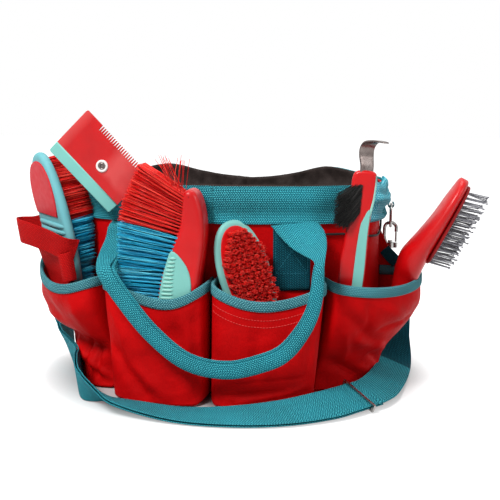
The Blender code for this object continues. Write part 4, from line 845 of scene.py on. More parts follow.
def pocket(name):
    """Bellows pouch with its bottom, binding and stitch rows."""
    cols = 110
    under_rows = 6
    u = 0.5 - 0.5 * np.cos(math.pi * np.linspace(0, 1, cols))
    uu, ss = np.meshgrid(u, np.linspace(0, 1, 56))
    z = POCKET_FLOOR + (mouth(u, name) - POCKET_FLOOR) * ss
    if name in SAGS:
        low, mid, fall = SAGS[name]
        hang = fall * rise(uu, low, mid - low) * rise(1 - uu, 0, 0.08)
        z = z - hang * (1 - ss) ** 3
    front = pocket_point(name, uu, z)
    if name in FLARES:
        low, high, far = FLARES[name]
        nx, ny = wall_at(pocket_run(name, uu, z))[2:]
        spread = far * np.sin(math.pi * rise(uu, low, high - low)) ** 0.6 * (1 - ss) ** 7
        front[..., 0] += nx * spread
        front[..., 1] += ny * spread
    hem = front[0]
    floor = np.full(cols, POCKET_FLOOR)
    wall = off_wall(pocket_run(name, u, floor), 0.0008, floor)
    under = []
    for k in range(under_rows, 0, -1):
        t = k / under_rows
        row = hem + (wall - hem) * t
        row[:, 2] = np.maximum(row[:, 2] - 0.0016 * math.sin(math.pi * min(t * 1.4, 1.0)) * (1 - t), 0.0014)
        under.append(row)
    start, end = POCKETS[name][:2]
    along = start + (end - start) * u
    v = np.concatenate([np.arange(-under_rows, 0)[:, None] * 0.006 + np.zeros(cols), z])
    obj = sheet("pouch_" + name, np.concatenate([under, front]), (along, v), RED_CLOTH, "bag", CLOTH_THICK)
    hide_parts("pocket_" + name)
    # The binding runs down the outside, over the edge and down the inside
    near = 0.5 - 0.5 * (1 - np.linspace(0.04, 0.93, 26) ** 5) ** 0.2
    ub = np.concatenate([near, np.linspace(near[-1], 1 - near[-1], 100)[1:-1], 1 - near[::-1]])
    tall = mouth(ub, name)
    edge = pocket_point(name, ub, tall, folds=False)[:, :2]
    ahead = np.gradient(edge, axis=0)
    normal = unit(np.stack([ahead[:, 1], -ahead[:, 0]], 1))
    loops = np.array([np.column_stack([edge + normal * out, tall + up]) for out, up in BINDING])
    uvs = (run_of(loops[0]), run_of(BINDING)[:, None])
    tape = sheet("tape_" + name, loops, uvs, TEAL_TAPE, "bag", 0.0005)
    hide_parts("binding_" + name)
    line = loops[0] + (loops[1] - loops[2]) * 0.1
    line[:, 2] += 0.0016
    thread("tape_stitch_" + name, line, 0.00026, STITCH_TEAL, "bag", 0.0026, 0.0009)
    if name == "front_right":
        for drop in (0.0175, 0.0245):
            us = np.linspace(0.03, 0.93, 240)
            line = pocket_point(name, us, mouth(us, name) - drop)
            nx, ny = wall_at(start + (end - start) * us)[2:]
            line[:, 0] += nx * 0.0001
            line[:, 1] += ny * 0.0001
            row = "hem_stitch_%d" % round(drop * 1e4)
            thread(row, line, 0.00036, STITCH_RED, "bag", 0.0024, 0.0006)


# Handles and strap

def grip_rows(front=False):
    """Stations of a handle's rolled grip; the front one's right part rises toward the flap."""
    reach = 0.1605
    low = HINGE_Z - 0.132
    middle = -0.0045
    half = 0.09925
    rows = []
    for across, near, up, wx, wz in [(-0.909, 0.0025, 0.634, 1, 0.4), (-0.753, 0, 0.479, 0.9, 0.6),
                                     (-0.471, 0, 0.239, 0.6, 0.75), (-0.118, 0, 0.049, 0.35, 0.9),
                                     (0.285, 0, 0, 0, 1), (0.667, 0, 0.07, -0.4, 0.9),
                                     (0.94, 0, 0.26, -0.8, 0.5), (1.066, 0.001, 0.479, -1, 0.2)]:
        rows.append((middle + across * half, near - reach, low + up * 0.142, wx, 0, wz, 0.018, 0.009))
    if front:
        rows = rows[:-2] + [(0.0808, -reach, 0.0672, -0.62, 0, 0.72, 0.017, 0.009),
                            (0.0962, -reach, 0.0872, -0.8, 0, 0.52, 0.0154, 0.0088),
                            (0.1052, -reach, 0.106, -0.92, 0, 0.32, 0.0138, 0.0084),
                            (0.1094, -reach, 0.1253, -1, 0, 0.12, 0.0126, 0.0078),
                            (0.1103, 0.003 - reach, 0.142, -1, 0, 0, 0.0112, 0.007),
                            (0.1106, 0.007 - reach, 0.15, -1, 0, 0, 0.0098, 0.0052)]
    return rows


def steep_rows(x, sense, start_y):
    """Stations of a handle's flat end, from its hinge down to the grip."""
    side = math.copysign(1, x)
    rows = [(x, -start_y, HINGE_Z, sense, 0, 0, 0.02, 0.0024)]
    for out, share, z, thick, tilt, width in ((0.0005, 0.023, HINGE_Z - 0.004, 0.0026, 0, 0.022),
                                              (0.0015, 0.092, HINGE_Z - 0.016, 0.0028, 0, 0.024),
                                              (0.002, 0.377, 0.1505, 0.0042, 0, 0.024),
                                              (0.0005, 0.715, 0.143, 0.0076, 0.1, 0.02)):
        rows.append((x + side * out, -HINGE_Y - share * 0.065, z, sense, 0, tilt, width, thick))
    return rows


def handles():
    """Two rolled webbing handles with flat sewn ends, and the flap at the front one's right end."""
    rows = steep_rows(-0.1005, 1, 0.09) + grip_rows(True)
    front = sweep("carry_handle_front", rows, TEAL_WEB, "front_handle", steps=12, seam=math.pi * 0.16)
    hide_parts("front_handle")
    near = curve(mm([(57.5, -98.2, 178.7), (68.9, -108, 168.3), (81.2, -120, 160), (94.3, -134, 155.6),
                     (103.5, -145, 153.2), (107, -153, 149.4), (106.7, -157.5, 142.6)]), 10)
    far = curve(mm([(103.5, -97.2, 183.6), (110.6, -104, 176.7), (114.4, -114, 169.3),
                    (115.7, -127, 163.5), (115.7, -142, 157.3), (115.4, -152.5, 151),
                    (115.1, -157.5, 142.9)]), 10)
    across, share = np.meshgrid(np.linspace(0, 1, 20), np.linspace(0, 1, len(near)))
    points = near[:, None] * (1 - across[..., None]) + far[:, None] * across[..., None]
    curl = np.sin(math.pi * across) ** 0.8 * np.sin(math.pi * np.clip(share * 1.05, 0, 1)) ** 0.7
    points[..., 1] -= 0.003 * curl
    wide = np.linalg.norm(far - near, axis=1)[:, None]
    run = run_of((near + far) / 2)[:, None]
    uvs = (run, (across - 0.5) * wide)
    flap = sheet("carry_handle_flap", points, uvs, TEAL_WEB, "front_handle", 0.0018, 0.0)
    rows = []
    for x, y, z, wx, wy, wz, width, thick in (steep_rows(-0.091, 1, 0.0937) + grip_rows()
                                              + steep_rows(0.091, -1, 0.0937)[::-1]):
        drop = 0.01 if z > HINGE_Z - 0.0781 else 0
        rows.append((x, -y, z - drop, wx, wy, wz, min(width, 0.018), thick))
    back = sweep("carry_handle_back", rows, TEAL_WEB, "back_handle", steps=12, seam=math.pi * 1.84)
    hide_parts("back_handle")


def anchors():
    """Flat webbing sewn to the wall at each handle end, with a boxed cross of stitches."""
    for name, x, side in (("front_left", -0.093, -1), ("front_right", 0.078, -1), ("back_left", -0.083, 1),
                          ("back_right", 0.078, 1)):
        centre = run_at_x(x)
        low = POCKET_MOUTH + (0.002 if side > 0 else -0.012)
        high = RIM_TOP - WEB_WIDTH - 0.01 * (side > 0) - 0.0006

        def place_on(across, z, out):
            run = centre + across
            if side > 0:
                run = AROUND / 2 - run
            return off_wall(run, out + slack(run, z), z)

        ss, zz = np.meshgrid(np.linspace(-WEB_WIDTH / 2, WEB_WIDTH / 2, 18), np.linspace(low, high, 16))
        # The front right anchor gets the darker webbing copy: painted shade from the flap above it.
        look = PAINTED_SHADE_WEB if name == "front_right" else TEAL_WEB
        points = place_on(ss, zz, SEWN_OUT)
        obj = sheet("web_anchor_" + name, points, (zz, ss), look, "bag", WEB_THICK, float(-side))
        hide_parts("anchor_" + name)
        half = WEB_WIDTH / 2 - 0.003
        lo = POCKET_MOUTH + 0.006
        hi = high - 0.004
        corners = half * np.array([-1, 1, 1, -1, -1, 1, 1, -1])
        levels = np.array([lo, lo, hi, hi, lo, hi, lo, hi])
        corners = np.stack([corners, levels], 1)
        share = np.arange(30)[:, None] / 30
        path = np.concatenate([a + (b - a) * share for a, b in zip(corners, corners[1:])])
        line = place_on(path[:, 0], path[:, 1], SEWN_OUT + WEB_THICK + 0.00008)
        row = thread("anchor_stitch_" + name, line, 0.00027, STITCH_TEAL, "bag", 0.0028, 0.0009)


def strap_rows():
    """Stations of the shoulder strap: left eye, round the bag on the ground, right eye."""
    x = BAR_X
    y = RING_Y
    low = EYE_LOW
    end = 0.194
    front = 0.1765
    rows = [(-x - 0.0012, y, low - 0.0045, 0, 1, 0), (-x - 0.01, y, low - 0.016, 0, 1, 0),
            (-x - 0.0218, y - 0.002, 0.69 * low, 0, 1, 0),
            (-x - 0.0293, y - 0.009, 0.455 * low, 0.1, 1, -0.05),
            (-x - 0.0228, y - 0.02, 0.283 * low, 0.15, 0.85, -0.55),
            (-x - 0.0158, y - 0.036, 0.222 * low, 0.19, 0.58, -0.79)]
    # On the ground: shares of the two half lengths, height, width direction
    floor = [(-0.933, -0.17, 0.0225, 0.2, 0.2, -0.95), (-0.804, -0.3994, 0.0197, 0.12, 0.12, -0.98),
             (-0.756, -0.578, 0.0197, 0.08, 0.08, -0.99), (-0.686, -0.77, 0.0198, 0.12, 0.16, -0.98),
             (-0.6082, -0.85, 0.018, 0.26, 0.45, -0.8), (-0.5258, -0.887, 0.014, 0.34, 0.72, -0.56),
             (-0.4124, -0.918, 0.0092, 0.4, 0.9, -0.25), (-0.1289, -0.9802, 0.0048, 0.16, 1, -0.02),
             (0.1546, -1.0, 0.0068, -0.08, 1, 0.14), (0.4124, -0.9518, 0.01, -0.42, 0.9, 0.28),
             (0.6134, -0.8442, 0.013, -0.62, 0.72, 0.38)]
    for k in range(5):
        floor.append((0.7067 + 0.03068 * k, -0.7564 + 0.03825 * k, 0.0142, -0.7, 0.68, 0.38))
    floor += [(0.88, -0.476, 0.014, -0.74, 0.5, 0.42), (0.92, -0.25, 0.012, -0.82, 0.22, 0.46)]
    rows += [(across * end, ahead * front, *rest) for across, ahead, *rest in floor]
    rows += [(end - 0.0105, y - 0.03, 0.011, -0.88, 0.04, 0.42),
             (end - 0.0088, y + 0.0025, 0.013, -0.95, 0, 0.28),
             (x + 0.006, y + 0.019, 0.267 * low, -1, 0.02, 0),
             (x + 0.0072, y + 0.017, 0.518 * low, -0.9, -0.42, 0),
             (x + 0.009, y + 0.009, 0.738 * low, -0.45, -0.9, 0),
             (x + 0.0042, y + 0.001, low - 0.013, 0, -1, 0), (x + 0.0012, y, low - 0.0045, 0, -1, 0)]
    return [(*row, WEB_WIDTH, WEB_THICK) for row in rows]


def straps():
    """Shoulder strap, its second layer, the folds round the eyes and the rings' loops."""
    rows = strap_rows()
    main = sweep("strap_web", rows, TEAL_WEB, "bag")
    # Faces of the strap's rising run at the right end take the darker webbing copy: painted shade, with a
    # hard edge at the bend.
    main.data.materials.append(PAINTED_SHADE_WEB)
    for face in main.data.polygons:
        face.material_index = int(face.center.x > 0.15 and face.center.y > 0.012)
    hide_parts("shoulder_strap")
    second = sweep("strap_web_second", rows[1:22], TEAL_WEB, "bag", offset=-0.0026)
    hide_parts("strap_return")

    def arc(start, sweep_by, steps, turn, z):
        angles = [math.radians(start + k * sweep_by / steps) for k in range(steps + 1)]
        return [(BAR_X + turn * math.cos(a), z + turn * math.sin(a)) for a in angles]

    turn = 0.0031
    base = 0.1672
    eye_path = arc(-62, 304, 24, 0.0028, EYE_LOW)
    loop_path = [(base, RIM_TOP - 0.004), (base, LOOP_Z + 0.016), (base + 0.002, LOOP_Z + 0.011),
                 (BAR_X - turn - 0.0022, LOOP_Z + 0.0055)] + arc(155, 262, 8, turn, LOOP_Z)
    for word, side in (("left", -1), ("right", 1)):
        # The eye's fold turns the same way on both sides
        rows = [(side * BAR_X + x - BAR_X, RING_Y, z, 0, 1, 0, WEB_WIDTH, 0.0014) for x, z in eye_path]
        fold = sweep("eye_fold_" + word, rows, TEAL_WEB, "bag", steps=2)
        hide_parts("strap_fold_" + word)
        rows = [(side * x, RING_Y, z, 0, 1, 0, 0.014, 0.0013) for x, z in loop_path]
        loop = sweep("loop_tape_" + word, rows, TEAL_TAPE, "bag", steps=5)
        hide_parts("ring_loop_" + word)


# Tools

def dandy_brush():
    """Long stiff brush standing on end, red over blue bristles toward the left."""
    shift = np.array([-0.0075, 0.0])
    back = mm([(-12, 217.2), (-7.5, 216.5), (-3, 212), (1, 200), (3.2, 185), (3.4, 170), (1.6, 150),
               (-1.6, 130), (-2.5, 115), (-1, 80), (0, 40), (-4, 24), (-15, 16), (-26, 20), (-32, 30),
               (-44, 56), (-47, 80), (-45, 105), (-40, 132), (-30.2, 157), (-24.5, 172), (-20.8, 185),
               (-19.2, 200), (-18.4, 209), (-16, 215)])
    low = -0.136
    high = -0.105
    shell = pillow("dandy_shell", back + shift, low, high, RED_SHELL, "dandy_brush", edge=0.006, steps=7)
    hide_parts("dandy_back")
    insert = mm([(-28.5, 157), (-19, 150), (-11, 136), (-9, 118), (-12, 98), (-20, 86), (-33, 82),
                 (-43, 90), (-42.5, 106), (-38.5, 128), (-33.5, 146)])
    insert = insert + shift
    pad = pillow("dandy_pad", insert, low - 0.0017, low + 0.0012, MINT, "dandy_brush", 0.0013, steps=4)
    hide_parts("dandy_grip")
    sizes = [0.0006, 0.0012, 0.0013, 0.0012, 0.001, 0.0003]
    for k in range(16):
        z = 0.09 + k * 0.004
        left = np.interp(z, [0.082, 0.09, 0.106, 0.128, 0.146, 0.157],
                         [-0.033, -0.0415, -0.0415, -0.0376, -0.0326, -0.0285])
        xs = np.linspace(left + 0.0008, left + 0.0165 - 0.0006 * k, 6) + shift[0]
        line = [(x, low - 0.0019, z) for x in xs]
        rib = tube("dandy_rib_%02d" % k, line, sizes, MINT_PALE, "dandy_brush", 8)
    root = shift + mm([(-16.5, 212), (-20.8, 185), (-24.5, 172.2), (-29.5, 160.2), (-40, 132.5),
                       (-45, 105.5), (-47, 80), (-44, 56), (-35, 34)])
    tip = shift + mm([(-62, 241.5), (-79, 205), (-83.5, 186.6), (-84.5, 170), (-85, 135), (-84, 108),
                      (-76, 80), (-69, 52), (-64, 32)])
    knots = [0.0, 0.17, 0.235, 0.29, 0.42, 0.55, 0.68, 0.82, 1.0]

    def on(line, t, y):
        return np.array([np.interp(t, knots, line[:, 0]), y, np.interp(t, knots, line[:, 1])])

    def field(name, t0, t1, look, rows):
        roots = []
        tips = []
        for t in np.linspace(t0, t1, rows):
            for y in np.linspace(-0.1345, -0.1065, 8):
                for k in range(15):
                    start = t + rng.normal() * 0.0022
                    r = on(root, start, np.clip(y + rng.normal() * 0.0007, -0.1348, -0.1062))
                    reach = start + rng.normal() * 0.0045
                    q = on(tip, reach, y + rng.normal() * 0.0011)
                    roots.append(r - unit(q - r) * 0.003)
                    tips.append(r + (q - r) * (1.0 - abs(rng.normal()) * 0.03))
        return fibres(name, np.array(roots), np.array(tips), 0.00034, look, "dandy_brush", 0.05)

    red = field("dandy_red_field", 0.0, 0.225, RED_FIBRE, 14)
    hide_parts("dandy_bristles_red")
    blue = field("dandy_blue_field", 0.245, 1.0, BLUE_FIBRE, 40)
    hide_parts("dandy_bristles_blue")
    roots = []
    tips = []
    for k in range(24):
        x = rng.uniform(-0.03, -0.018) + shift[0]
        y = rng.uniform(-0.134, -0.11)
        roots.append((x, y, 0.212 + rng.uniform(0, 0.004)))
        lean = rng.choice([0.0, 1.0], p=[0.35, 0.65])
        tips.append((x - lean * rng.uniform(0.01, 0.021) + (1 - lean) * rng.uniform(0.002, 0.005),
                     y + rng.uniform(-0.003, 0.003), 0.245 + rng.uniform(-0.006, 0.006)))
    strays = fibres("dandy_strays", np.array(roots), np.array(tips), 0.00038, RED_FIBRE, "dandy_brush", 0.12)


def comb_frame():
    """The comb's x along its teeth, z from its grip to its teeth."""
    along = unit(np.array([0.06, 0, -0.062]))
    across = np.array([-along[2], 0, along[0]])
    return np.stack([along, [0, 1, 0], across], 1), np.array([-0.17, -0.104, 0.253])


def mane_comb():
    """Tinted toothed plate, soft grip strip and riveted eyelet."""
    at = comb_frame()
    length = 0.0885
    width = 0.0585
    low = 0.011
    half = 0.00105
    teeth = 24
    start = 0.02
    eye = np.array([0.05, 0.029])
    pitch = (length - 0.0035 - start) / teeth
    outline = [(0.0012, low), (length - 0.0012, low), (length, low + 0.0012), (length, width - 0.001),
               (length - 0.0008, width)]
    for k in range(teeth):
        x = length - 0.0022 - pitch * k
        deep = 0.0062 if k % 2 else 0.0058
        for share, drop in ((0, 0), (0.2, 0.0004), (0.38, deep), (0.66, deep), (0.82, 0.0004), (0.92, 0)):
            outline.append((x - share * pitch, width - drop))
    outline += [(start - 0.002, width), (0.001, width), (0.0, width - 0.001), (0.0, low + 0.0012)]
    work = bmesh.new()
    edges = []
    for loop in (outline, circle(24) * 0.0034 + eye):
        corners = [work.verts.new((x, -half, z)) for x, z in loop]
        edges += [work.edges.new(pair) for pair in zip(corners, corners[1:] + corners[:1])]
    bmesh.ops.triangle_fill(work, use_beauty=True, use_dissolve=False, edges=edges)
    grown = bmesh.ops.extrude_face_region(work, geom=list(work.faces))
    for item in grown["geom"]:
        if isinstance(item, bmesh.types.BMVert):
            item.co.y += 2 * half
    bmesh.ops.recalc_face_normals(work, faces=work.faces)
    work.verts.index_update()
    points = np.array([v.co[:] for v in work.verts])
    faces = [[v.index for v in face.verts] for face in work.faces]
    work.free()
    uvs = points[:, [0, 2]] / (length, width)
    plate = make("comb_sheet", moved(points, at), faces, COMB, "mane_comb", uvs, smooth=False)
    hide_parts("comb_plate")
    step = plate.modifiers.new("edge", "BEVEL")
    step.width = 0.0003
    step.segments = 2
    step.limit_method = "ANGLE"
    grip = [(0.0, 0.0015), (0.0015, 0.0), (length - 0.0015, 0.0), (length, 0.0015), (length, 0.0125),
            (0.0, 0.0125)]
    strip = pillow("comb_strip", grip, -0.0022, 0.0022, MINT, "mane_comb", 0.0014, at, smooth_by=1)
    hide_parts("comb_grip")

    def ring(name, radius, y, bar, look):
        path = np.insert(circle(40) * radius + eye, 1, y, axis=1)
        return tube(name, moved(path, at), bar, look, "mane_comb", closed=True)

    rim = ring("eyelet_rim", 0.005, -0.0014, 0.0014, WHITE_RING)
    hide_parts("comb_eyelet")
    ring("eyelet_rivet", 0.0028, -0.0016, 0.0011, BLADE)
    core = circle(20) * 0.0022 + eye
    core = pillow("eyelet_core", core, -0.0014, 0.0014, BLADE, "mane_comb", 0.0006, at, steps=3, smooth_by=1)


def oval(half_x, half_z, power=2.2):
    """Outline of a brush's back or plate, slightly squarer than an ellipse."""
    ring = powered(circle(48), 2 / power)
    return ring * (half_x, half_z)


def oval_field(half_x, half_z, pitch, per, spread, keep=None):
    """Root points of tufts inside an oval, with several fibres each."""
    points = []
    nx = int(half_x / pitch)
    nz = int(half_z / pitch)
    for i in range(-nx, nx + 1):
        for j in range(-nz, nz + 1):
            x = i * pitch + (pitch / 2 if j % 2 else 0)
            z = j * pitch * 0.95
            if abs(x / half_x) ** 2.2 + abs(z / half_z) ** 2.2 > 0.94 or (keep and not keep(x, z)):
                continue
            for k in range(per):
                a = rng.uniform(0, 2 * math.pi)
                r = spread * math.sqrt(rng.random())
                points.append((x + r * math.cos(a), z + r * math.sin(a), r * math.cos(a), r * math.sin(a)))
    return np.array(points)


def body_brush():
    """Oval brush in the left end pocket: soft back outward, stepped grip, two colours of bristle."""
    at = tool_frame((-0.1815, -0.073, 0.167), (-0.215, 0.0, 0.976), (-0.7547, -0.6561, 0.0))
    slope = 0.16
    back = pillow("brush_body", oval(0.037, 0.0825), 0.0, 0.01, MINT_BLUE, "body_brush", 0.0048, at, 6, 1)
    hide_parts("brush_back")
    inlay = [(x - 0.003, z + 0.036 - slope * x * (z < -0.02)) for x, z in oval(0.0305, 0.038) if z > -0.024]
    face = pillow("brush_plate", inlay, -0.0016, 0.0006, RED_INLAY, "body_brush", 0.001, at, 4, 1)
    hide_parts("brush_inlay")
    for k in range(5):
        z = 0.006 - k * 0.0068
        half = 0.0355 * (1 - abs(z / 0.0825) ** 2.2) ** 0.45
        xs = np.linspace(-half, half, 21)
        line = moved([(x, -0.0006 + 0.0034 * (x / half) ** 6, z - slope * x) for x in xs], at)
        size = 0.0024 * (1 - 0.6 * np.abs(xs / half) ** 8)
        tube("brush_step_%d" % k, line, size, MINT_BLUE, "body_brush", 10)
    for word, look, test, shade in (("red", RED_FIBRE, lambda x, z: z > 0.0042, "red_bristle"),
                                    ("blue", BLUE_FIBRE, lambda x, z: z < 0.0042, "blue_bristle")):
        f = oval_field(0.034, 0.0785, 0.0043, 14, 0.0019, test)
        far = 0.0343 + 0.19 * f[:, 1] + rng.normal(size=len(f)) * 0.0007
        roots = np.stack([f[:, 0], np.full(len(f), 0.0092), f[:, 1]], 1)
        tips = np.stack([f[:, 0] + f[:, 2] * 0.9, np.minimum(far, 0.05), f[:, 1] + f[:, 3] * 0.9], 1)
        tips[:, 0] = np.clip(tips[:, 0], -0.034, 0.034)
        name = "brush_field_" + word
        obj = fibres(name, moved(roots, at), moved(tips, at), 0.00036, look, "body_brush", 0.04)
        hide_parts("brush_bristles_" + word)
    edge = 0.0384
    wide = 0.027
    thick = 0.0018
    rows = [(-edge, 0.0065, 0.003, 0, 0, 1), (-edge, -0.006, 0.003, 0, 0, 1),
            (-0.0345, -0.0215, 0.006, 0.1, 0, 1), (-0.018, -0.03, 0.006, 0.25, 0, 1),
            (0.004, -0.026, 0.0, 0.4, 0, 1), (0.0215, -0.0155, -0.01, 0.45, 0, 1),
            (edge - 0.004, -0.0055, -0.021, 0.45, 0, 1), (edge - 0.0012, 0.005, -0.027, 0.3, 0, 1)]
    rows = turned([(*row, wide, thick) for row in rows], at)
    strap = sweep("brush_hand_web", rows, RED_WEB, "body_brush", steps=9)
    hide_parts("brush_hand_strap")
    rows = [(x, y, -0.04, 0.03, thick)
            for x, y in ((0.0265, -0.002), (0.027, -0.008), (0.031, -0.0125), (0.0375, -0.012),
                         (0.0405, -0.007), (0.039, -0.001))]
    rows = turned(rows, at, (0.1, 0, 1.0))
    sweep("brush_web_roll", rows, RED_WEB, "body_brush", steps=6)
    rows = mm([(-6, -10.5, -12, 44, 1.6), (-4, -8.5, -26, 50, 1.6), (0, -7, -42, 52, 1.6),
               (2, -6, -60, 48, 1.6), (2, -5, -76, 44, 1.6)])
    rows = turned(rows, at, (1.0, 0.05, 0.12))
    sweep("brush_web_tail", rows, RED_WEB, "body_brush", steps=6)


def face_brush():
    """Small oval brush with thick red tufts looking forward."""
    at = tool_frame((0.0345, -0.108, 0.1302), (-0.3, 0, 0.954), (-0.42, 0.875, -0.18))
    back = pillow("face_body", oval(0.028, 0.057), -0.0085, 0.0, MINT, "face_brush", 0.004, at, 6, 1)
    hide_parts("face_brush_back")
    plate = oval(0.0222, 0.0512)
    plate = pillow("face_plate", plate, -0.0004, 0.0014, RED_SHELL, "face_brush", 0.0008, at, 3, 1)
    f = oval_field(0.022, 0.051, 0.0058, 80, 0.0019)
    far = 0.0182 + rng.normal(size=len(f)) * 0.0008
    # The tufts on one side stand out over the edge of the plate
    f[:, 0] = np.where(f[:, 0] < 0, f[:, 0] * 1.16, f[:, 0])
    roots = np.stack([f[:, 0], np.full(len(f), 0.0004), f[:, 1]], 1)
    far += 0.0012 * np.sin(f[:, 0] * 900) - np.hypot(f[:, 2], f[:, 3]) * 0.35
    tips = np.stack([f[:, 0] + f[:, 2] * 0.5 + rng.normal(size=len(f)) * 0.0003, far,
                     f[:, 1] + f[:, 3] * 0.5 + rng.normal(size=len(f)) * 0.0003], 1)
    # The tufts use the brighter fibre copy: painted light.
    obj = fibres("face_tufts", moved(roots, at), moved(tips, at), 0.00032, PAINTED_LIT_TUFT, "face_brush", 0.05)
    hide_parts("face_brush_tufts")


def hoof_pick():
    """Handle with a soft inlay, a bent steel hook and a small black brush."""
    at = tool_frame((0.14399, -0.09484, 0.15), (0.085, 0.0, 0.996), (0, -1, 0))
    body = mm([(-7, -80), (5, -80), (9.2, -60), (9.5, -20), (8.8, 15), (9, 38), (11.2, 60), (11.4, 77),
               (7.6, 84.8), (-8, 84.8), (-13, 77), (-12.5, 56), (-12.8, 40), (-14, 23), (-15.8, 4),
               (-17, -10), (-16, -40), (-12.5, -66)])
    skin = 0.00522
    shell = pillow("pick_body", body, -skin, skin, RED_SHELL, "hoof_pick", 0.0032, at)
    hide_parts("pick_handle")
    grip = mm([(-1.6, -70), (6.8, -70), (8, -40), (8.4, -10), (7.8, 22), (8.4, 40), (7.8, 47),
               (5.6, 46.5), (2, 38), (-0.4, 29), (-1.8, 0), (-2.2, -40)])
    pad = pillow("pick_pad", grip, -skin - 0.0015, -skin + 0.0006, MINT, "hoof_pick", 0.0009, at)
    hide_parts("pick_grip")
    edge = moved(mm([(10.3, -3.6, 81.5), (10.6, -4, 70), (10.2, -4.2, 58), (8.8, -4.6, 48),
                     (7.6, -5.6, 40)]), at)
    sizes = [0.0009, 0.0011, 0.0012, 0.0014, 0.0012]
    strip = tube("pick_edge_strip", edge, sizes, MINT_PALE, "hoof_pick", 10)
    n = 1700
    t = rng.random(n)
    q = rng.random(n)
    root = np.stack([-0.0118 + 0.009 * q, -0.004 - 0.0022 * q + rng.uniform(-0.0012, 0.006, n) * (1 - q),
                     0.043 + 0.029 * t], 1)
    tip = root + np.stack([-0.01 - 0.005 * (1 - q) + rng.normal(size=n) * 0.001,
                           -0.0026 - 0.003 * q + rng.normal(size=n) * 0.0008,
                           -0.0125 - 0.0035 * q + rng.normal(size=n) * 0.0016], 1)
    root[:, 0] += 0.0012
    obj = fibres("pick_field", moved(root, at), moved(tip, at), 0.00022, BLACK_FIBRE, "hoof_pick", 0.1)
    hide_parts("pick_brush")
    rows = mm([(0.4, 0, 80, 15, 2.2), (0, 1.2, 90.5, 15.5, 2.2), (-1.6, 3.2, 99.5, 16.8, 2.2),
               (-1.6, 2.6, 107.2, 17, 2.2), (1.4, -2.2, 113, 16.6, 2.2), (6.2, -8.6, 115, 14, 2),
               (11.4, -15.6, 115.4, 10.5, 1.8), (16, -21.8, 115, 6.6, 1.4)])
    rows = turned(rows, at, (0.8, 0.6, 0.0))
    hook = sweep("pick_blade", rows, BLADE, "hoof_pick", steps=8, shape=9.0)
    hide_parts("pick_hook")


def pin_brush():
    """Moulded paddle with a dark cushion and slim steel pins."""
    at = tool_frame((0.21203, -0.04803, 0.15), (0.452, 0, 0.892), (-0.892, 0, 0.452))
    # Sections from foot to head in mm: middle y, z, half width, half thickness
    shape = mm([(0, -111.5, 4.2, 4), (0, -105.5, 6.8, 5.5), (-3, -60, 8, 6.5), (-3.4, -48, 9.2, 9.8),
                (-4.4, -36, 11, 12.6), (-6.2, -24, 17, 13.8), (-7.2, -10, 21, 14.2),
                (-4.8, 10, 26, 11.8), (-2.2, 35, 27.5, 9.2), (-0.8, 58, 25.5, 7.8), (0, 72, 21, 6.6),
                (0, 79.5, 14, 5.6), (0, 82.8, 6.6, 4)])
    count = 40
    ring = circle(count)
    c = powered(ring[:, 0], 0.85)
    s = powered(ring[:, 1], 0.9)
    rows = curve(shape, 5)
    verts = [np.stack([half_x * c, y + half_y * s, np.full(count, z)], 1) for y, z, half_x, half_y in rows]
    verts = moved(np.concatenate(verts), at)
    shell = make("pin_shell", verts, capped(len(rows), count), RED_SHELL, "pin_brush")
    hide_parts("pin_brush_body")
    cushion = oval(0.0212, 0.0448, 2.6) + (0, 0.0335)
    pad = pillow("pin_cushion", cushion, 0.0058, 0.0092, PAD, "pin_brush", 0.0012, at, smooth_by=1)
    roots = []
    for r in range(16):
        z = -0.008 + r * 0.00528
        reach = 0.02 * (1 - abs((z - 0.033) / 0.046) ** 2.6) ** (1 / 2.6)
        columns = 9 if r % 2 else 8
        xs = [(c - (columns - 1) / 2) * 0.0047 for c in range(columns)]
        roots += [(x, z) for x in xs if abs(x) <= reach]
    # Each pin has a small ball at its tip: share of the length, radius
    levels = ((0.0, 0.0006), (0.9, 0.00056), (0.93, 0.00086), (0.975, 0.0009), (1.0, 0.0004))
    verts = []
    faces = []
    for x, z in roots:
        root = np.array([x, 0.0085, z])
        tip = np.array([x * 1.03 + rng.normal() * 0.0006, 0.0304 + rng.normal() * 0.001,
                        z + 0.0052 + rng.normal() * 0.001])
        start = len(verts)
        for t, radius in levels:
            verts.extend(root + (tip - root) * t + np.insert(circle(6) * radius, 1, 0, axis=1))
        faces += grid_faces(len(levels), 6, wrap_cols=True, start=start)
        faces.append([start + 24 + k for k in range(6)])
    pins = make("pin_field", moved(verts, at), faces, PIN_STEEL, "pin_brush")
    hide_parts("pin_brush_pins")


def small_trim():
    """Glossy tab under the rim at the left, and dark piping at the right, laid along the shadow line under
    an overhang and so partly painted shadow.
    """
    rows = []
    for k, run in enumerate(np.linspace(run_at_x(-0.112), run_at_x(-0.078), 12)):
        out = 0.003 + 0.0022 * math.sin(math.pi * k / 11)
        rows.append((*off_wall(run, out, 0.1745), 0, 0, 1, 0.0085, 0.0014))
    sweep("rim_tab", rows, TAB_RED, "bag", steps=3)
    knots = [run_at_x(x) for x in (0.1108, 0.1271, 0.154, 0.16)]
    knots += [run_at_end_y(y) for y in (-0.014, -0.006, 0.0)]
    run = np.linspace(knots[0], knots[-1], 60)
    z = np.interp(run, knots, [0.1694, 0.169, 0.1639, 0.163, 0.1687, 0.1781, 0.185])
    line = off_wall(run, 0.0014 + slack(run, z), z)
    # The dark cord is partly real black piping and partly a painted shadow line under the overhanging red
    # wall.
    tube("dark_cord_shadow_line", line, 0.0012, PIPING_AND_SHADOW_LINE, "bag", 8)


# Camera, light and stage

def seen_directly(tree):
    """1 for rays from the camera, by itself, in a reflection or through clear plastic, else 0."""
    ray = add_node(tree, "LightPath").outputs
    seen = Value(tree, ray["Is Camera Ray"]).math("MAXIMUM", ray["Is Glossy Ray"])
    return seen.math("MAXIMUM", ray["Is Transmission Ray"])


